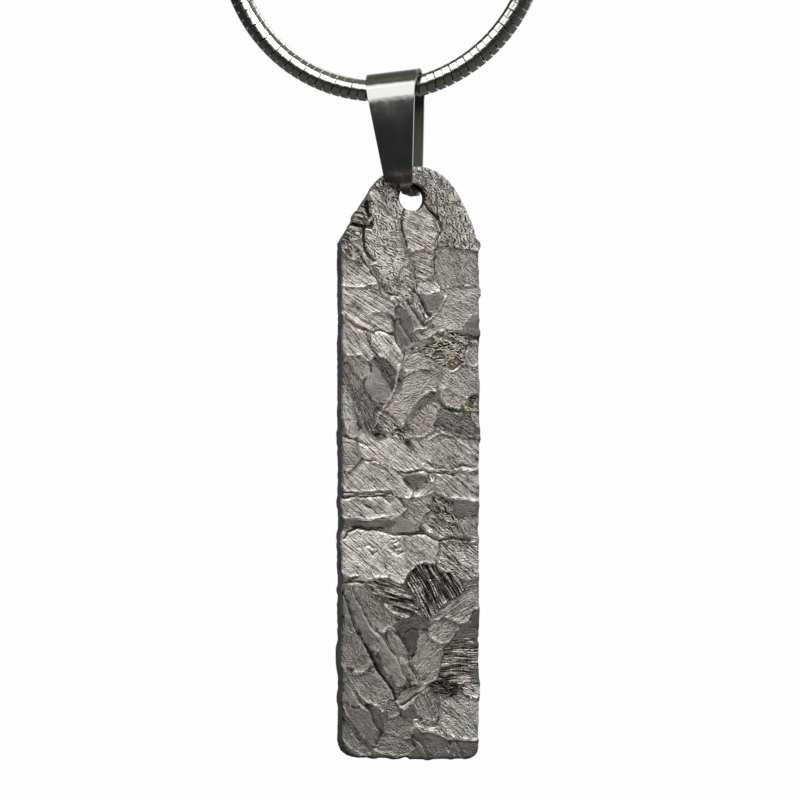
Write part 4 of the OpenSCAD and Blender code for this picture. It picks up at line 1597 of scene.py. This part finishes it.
@dataclass
class Studio:
    """The camera, the pale floor and the soft lights. In metres and degrees."""

    azimuth: float = 10.6
    aim_right: float = 1.3 * MM
    aim_z: float = -192.99 * MM
    distance: float = 0.23
    lens: float = 142.8
    film_w: float = 36.0
    bright_azimuth: float = 145.0
    backdrop: float = 0.985
    floor_z: float = -0.32
    floor_r: float = 0.5

    def build(self) -> None:
        """Sets up the camera, the surroundings, the floor and the lights."""
        bpy.context.scene.view_settings.view_transform = "Standard"
        self.camera()
        self.surroundings()
        self.floor()
        for box in SOFTBOXES:
            self.hang(box)

    def direction(self, azimuth: float, elevation: float) -> Vector:
        """Works out the direction from the object to a place round it.

        Args:
            azimuth: degrees to the right of the front.
            elevation: degrees above the level.

        Returns:
            A unit vector.
        """
        a, e = math.radians(azimuth), math.radians(elevation)
        return Vector((math.sin(a) * math.cos(e), -math.cos(a) * math.cos(e), math.sin(e)))

    def aim(self) -> Vector:
        """Finds the point that the camera looks at."""
        a = math.radians(self.azimuth)
        return Vector((math.cos(a) * self.aim_right, math.sin(a) * self.aim_right, self.aim_z))

    def camera(self) -> None:
        """Puts the camera at the photograph's angle."""
        data = bpy.data.cameras.new("photo_camera")
        data.lens = self.lens
        data.sensor_width = self.film_w
        data.clip_start = 0.01
        camera = bpy.data.objects.new("photo_camera", data)
        back = self.direction(self.azimuth, 0)
        camera.location = self.aim() + back * self.distance
        camera.rotation_euler = back.to_track_quat("Z", "Y").to_euler()
        bpy.context.scene.collection.objects.link(camera)
        bpy.context.scene.camera = camera

    def surroundings(self) -> None:
        """Makes a white room for the camera, which metal sees as dark in front and light behind."""
        world = bpy.data.worlds.new("pale_room")
        bpy.context.scene.world = world
        world.use_nodes = True
        tree = world.node_tree
        shown = add_node(tree, "ShaderNodeLightPath")
        place = add_node(tree, "ShaderNodeTexCoord")
        bright_side = add_node(tree, "ShaderNodeVectorMath", {
            0: place.outputs["Generated"], 1: self.direction(self.bright_azimuth, 0)},
            operation="DOT_PRODUCT")
        up = add_node(tree, "ShaderNodeSeparateXYZ", {0: place.outputs["Generated"]}).outputs["Z"]
        # Each row: what is read, the range that is read, how light it makes the room, and its ends
        level, eaves, behind, overhead, below = (add_node(tree, "ShaderNodeMapRange", {
            "Value": value, "From Min": low, "From Max": high, "To Min": at_low, "To Max": at_high},
            interpolation_type=rise).outputs[0] for value, low, high, at_low, at_high, rise in (
                (up, -0.3, -0.05, 0.06, 1.0, "LINEAR"),
                (up, 0.3, 0.75, 1.0, 0.35, "LINEAR"),
                (bright_side.outputs["Value"], 0.0, 0.9, 0.04, 1.0, "SMOOTHSTEP"),
                (up, 0.7, 1.0, 0.0, 0.15, "SMOOTHSTEP"),
                # The pale floor lights what faces down
                (up, -0.05, -0.6, 0.0, 0.09, "SMOOTHSTEP")))
        light = level
        for operation, value in (("MULTIPLY", eaves), ("MULTIPLY", behind), ("ADD", overhead),
                                 ("ADD", below)):
            light = add_node(tree, "ShaderNodeMath", {0: light, 1: value}, operation=operation).outputs[0]
        slant = add_node(tree, "ShaderNodeMath", {0: up}, operation="ABSOLUTE")
        tint = add_node(tree, "ShaderNodeMix", {
            "Factor": slant.outputs[0], 6: linear("#D6E2E3"), 7: linear("#FAF5E8")}, data_type="RGBA")
        seen = add_node(tree, "ShaderNodeVectorMath", {0: tint.outputs[2], "Scale": light}, operation="SCALE")
        room = add_node(tree, "ShaderNodeMix", {
            "Factor": shown.outputs["Is Camera Ray"], 6: seen.outputs[0], 7: (*[self.backdrop] * 3, 1.0)},
            data_type="RGBA")
        tree.links.new(room.outputs[2], tree.nodes["Background"].inputs["Color"])

    def floor(self) -> None:
        """Lays a pale round floor below the pendant."""
        shape = bmesh.new()
        bmesh.ops.create_circle(shape, cap_ends=True, segments=96, radius=self.floor_r,
                                matrix=Matrix.Translation((0, 0, self.floor_z)))
        # Uncoated white paper, pressed flat: matt and even, with no highlight to draw the eye
        material, _, shader = new_material("pale_paper")
        shader.inputs["Base Color"].default_value = linear("#F4F3F1")
        shader.inputs["Roughness"].default_value = 0.9
        ground = finish_piece("floor", shape, material)
        ground.visible_glossy = False

    def hang(self, box: Softbox) -> None:
        """Hangs one soft light.

        Args:
            box: where it hangs, how large it is and how bright.
        """
        data = bpy.data.lights.new(box.name, "AREA")
        data.shape = "RECTANGLE"
        data.size, data.size_y = box.width, box.height
        data.energy = box.radiance * math.pi * box.width * box.height
        lamp = bpy.data.objects.new(box.name, data)
        back = self.direction(box.azimuth, box.elevation)
        lamp.location = self.aim() + back * box.distance
        lamp.rotation_euler = back.to_track_quat("Z", "Y").to_euler()
        bpy.context.scene.collection.objects.link(lamp)


def main() -> None:
    """Builds the studio and the pendant's pieces, from the camera down to the bar."""
    logging.basicConfig(level=logging.INFO, format="%(message)s")
    Studio().build()
    for part in (SnakeChain(), BarrelClasp(), StripBail(), MeteoriteBar()):
        report(part.build())


if __name__ == "__main__":
    main()
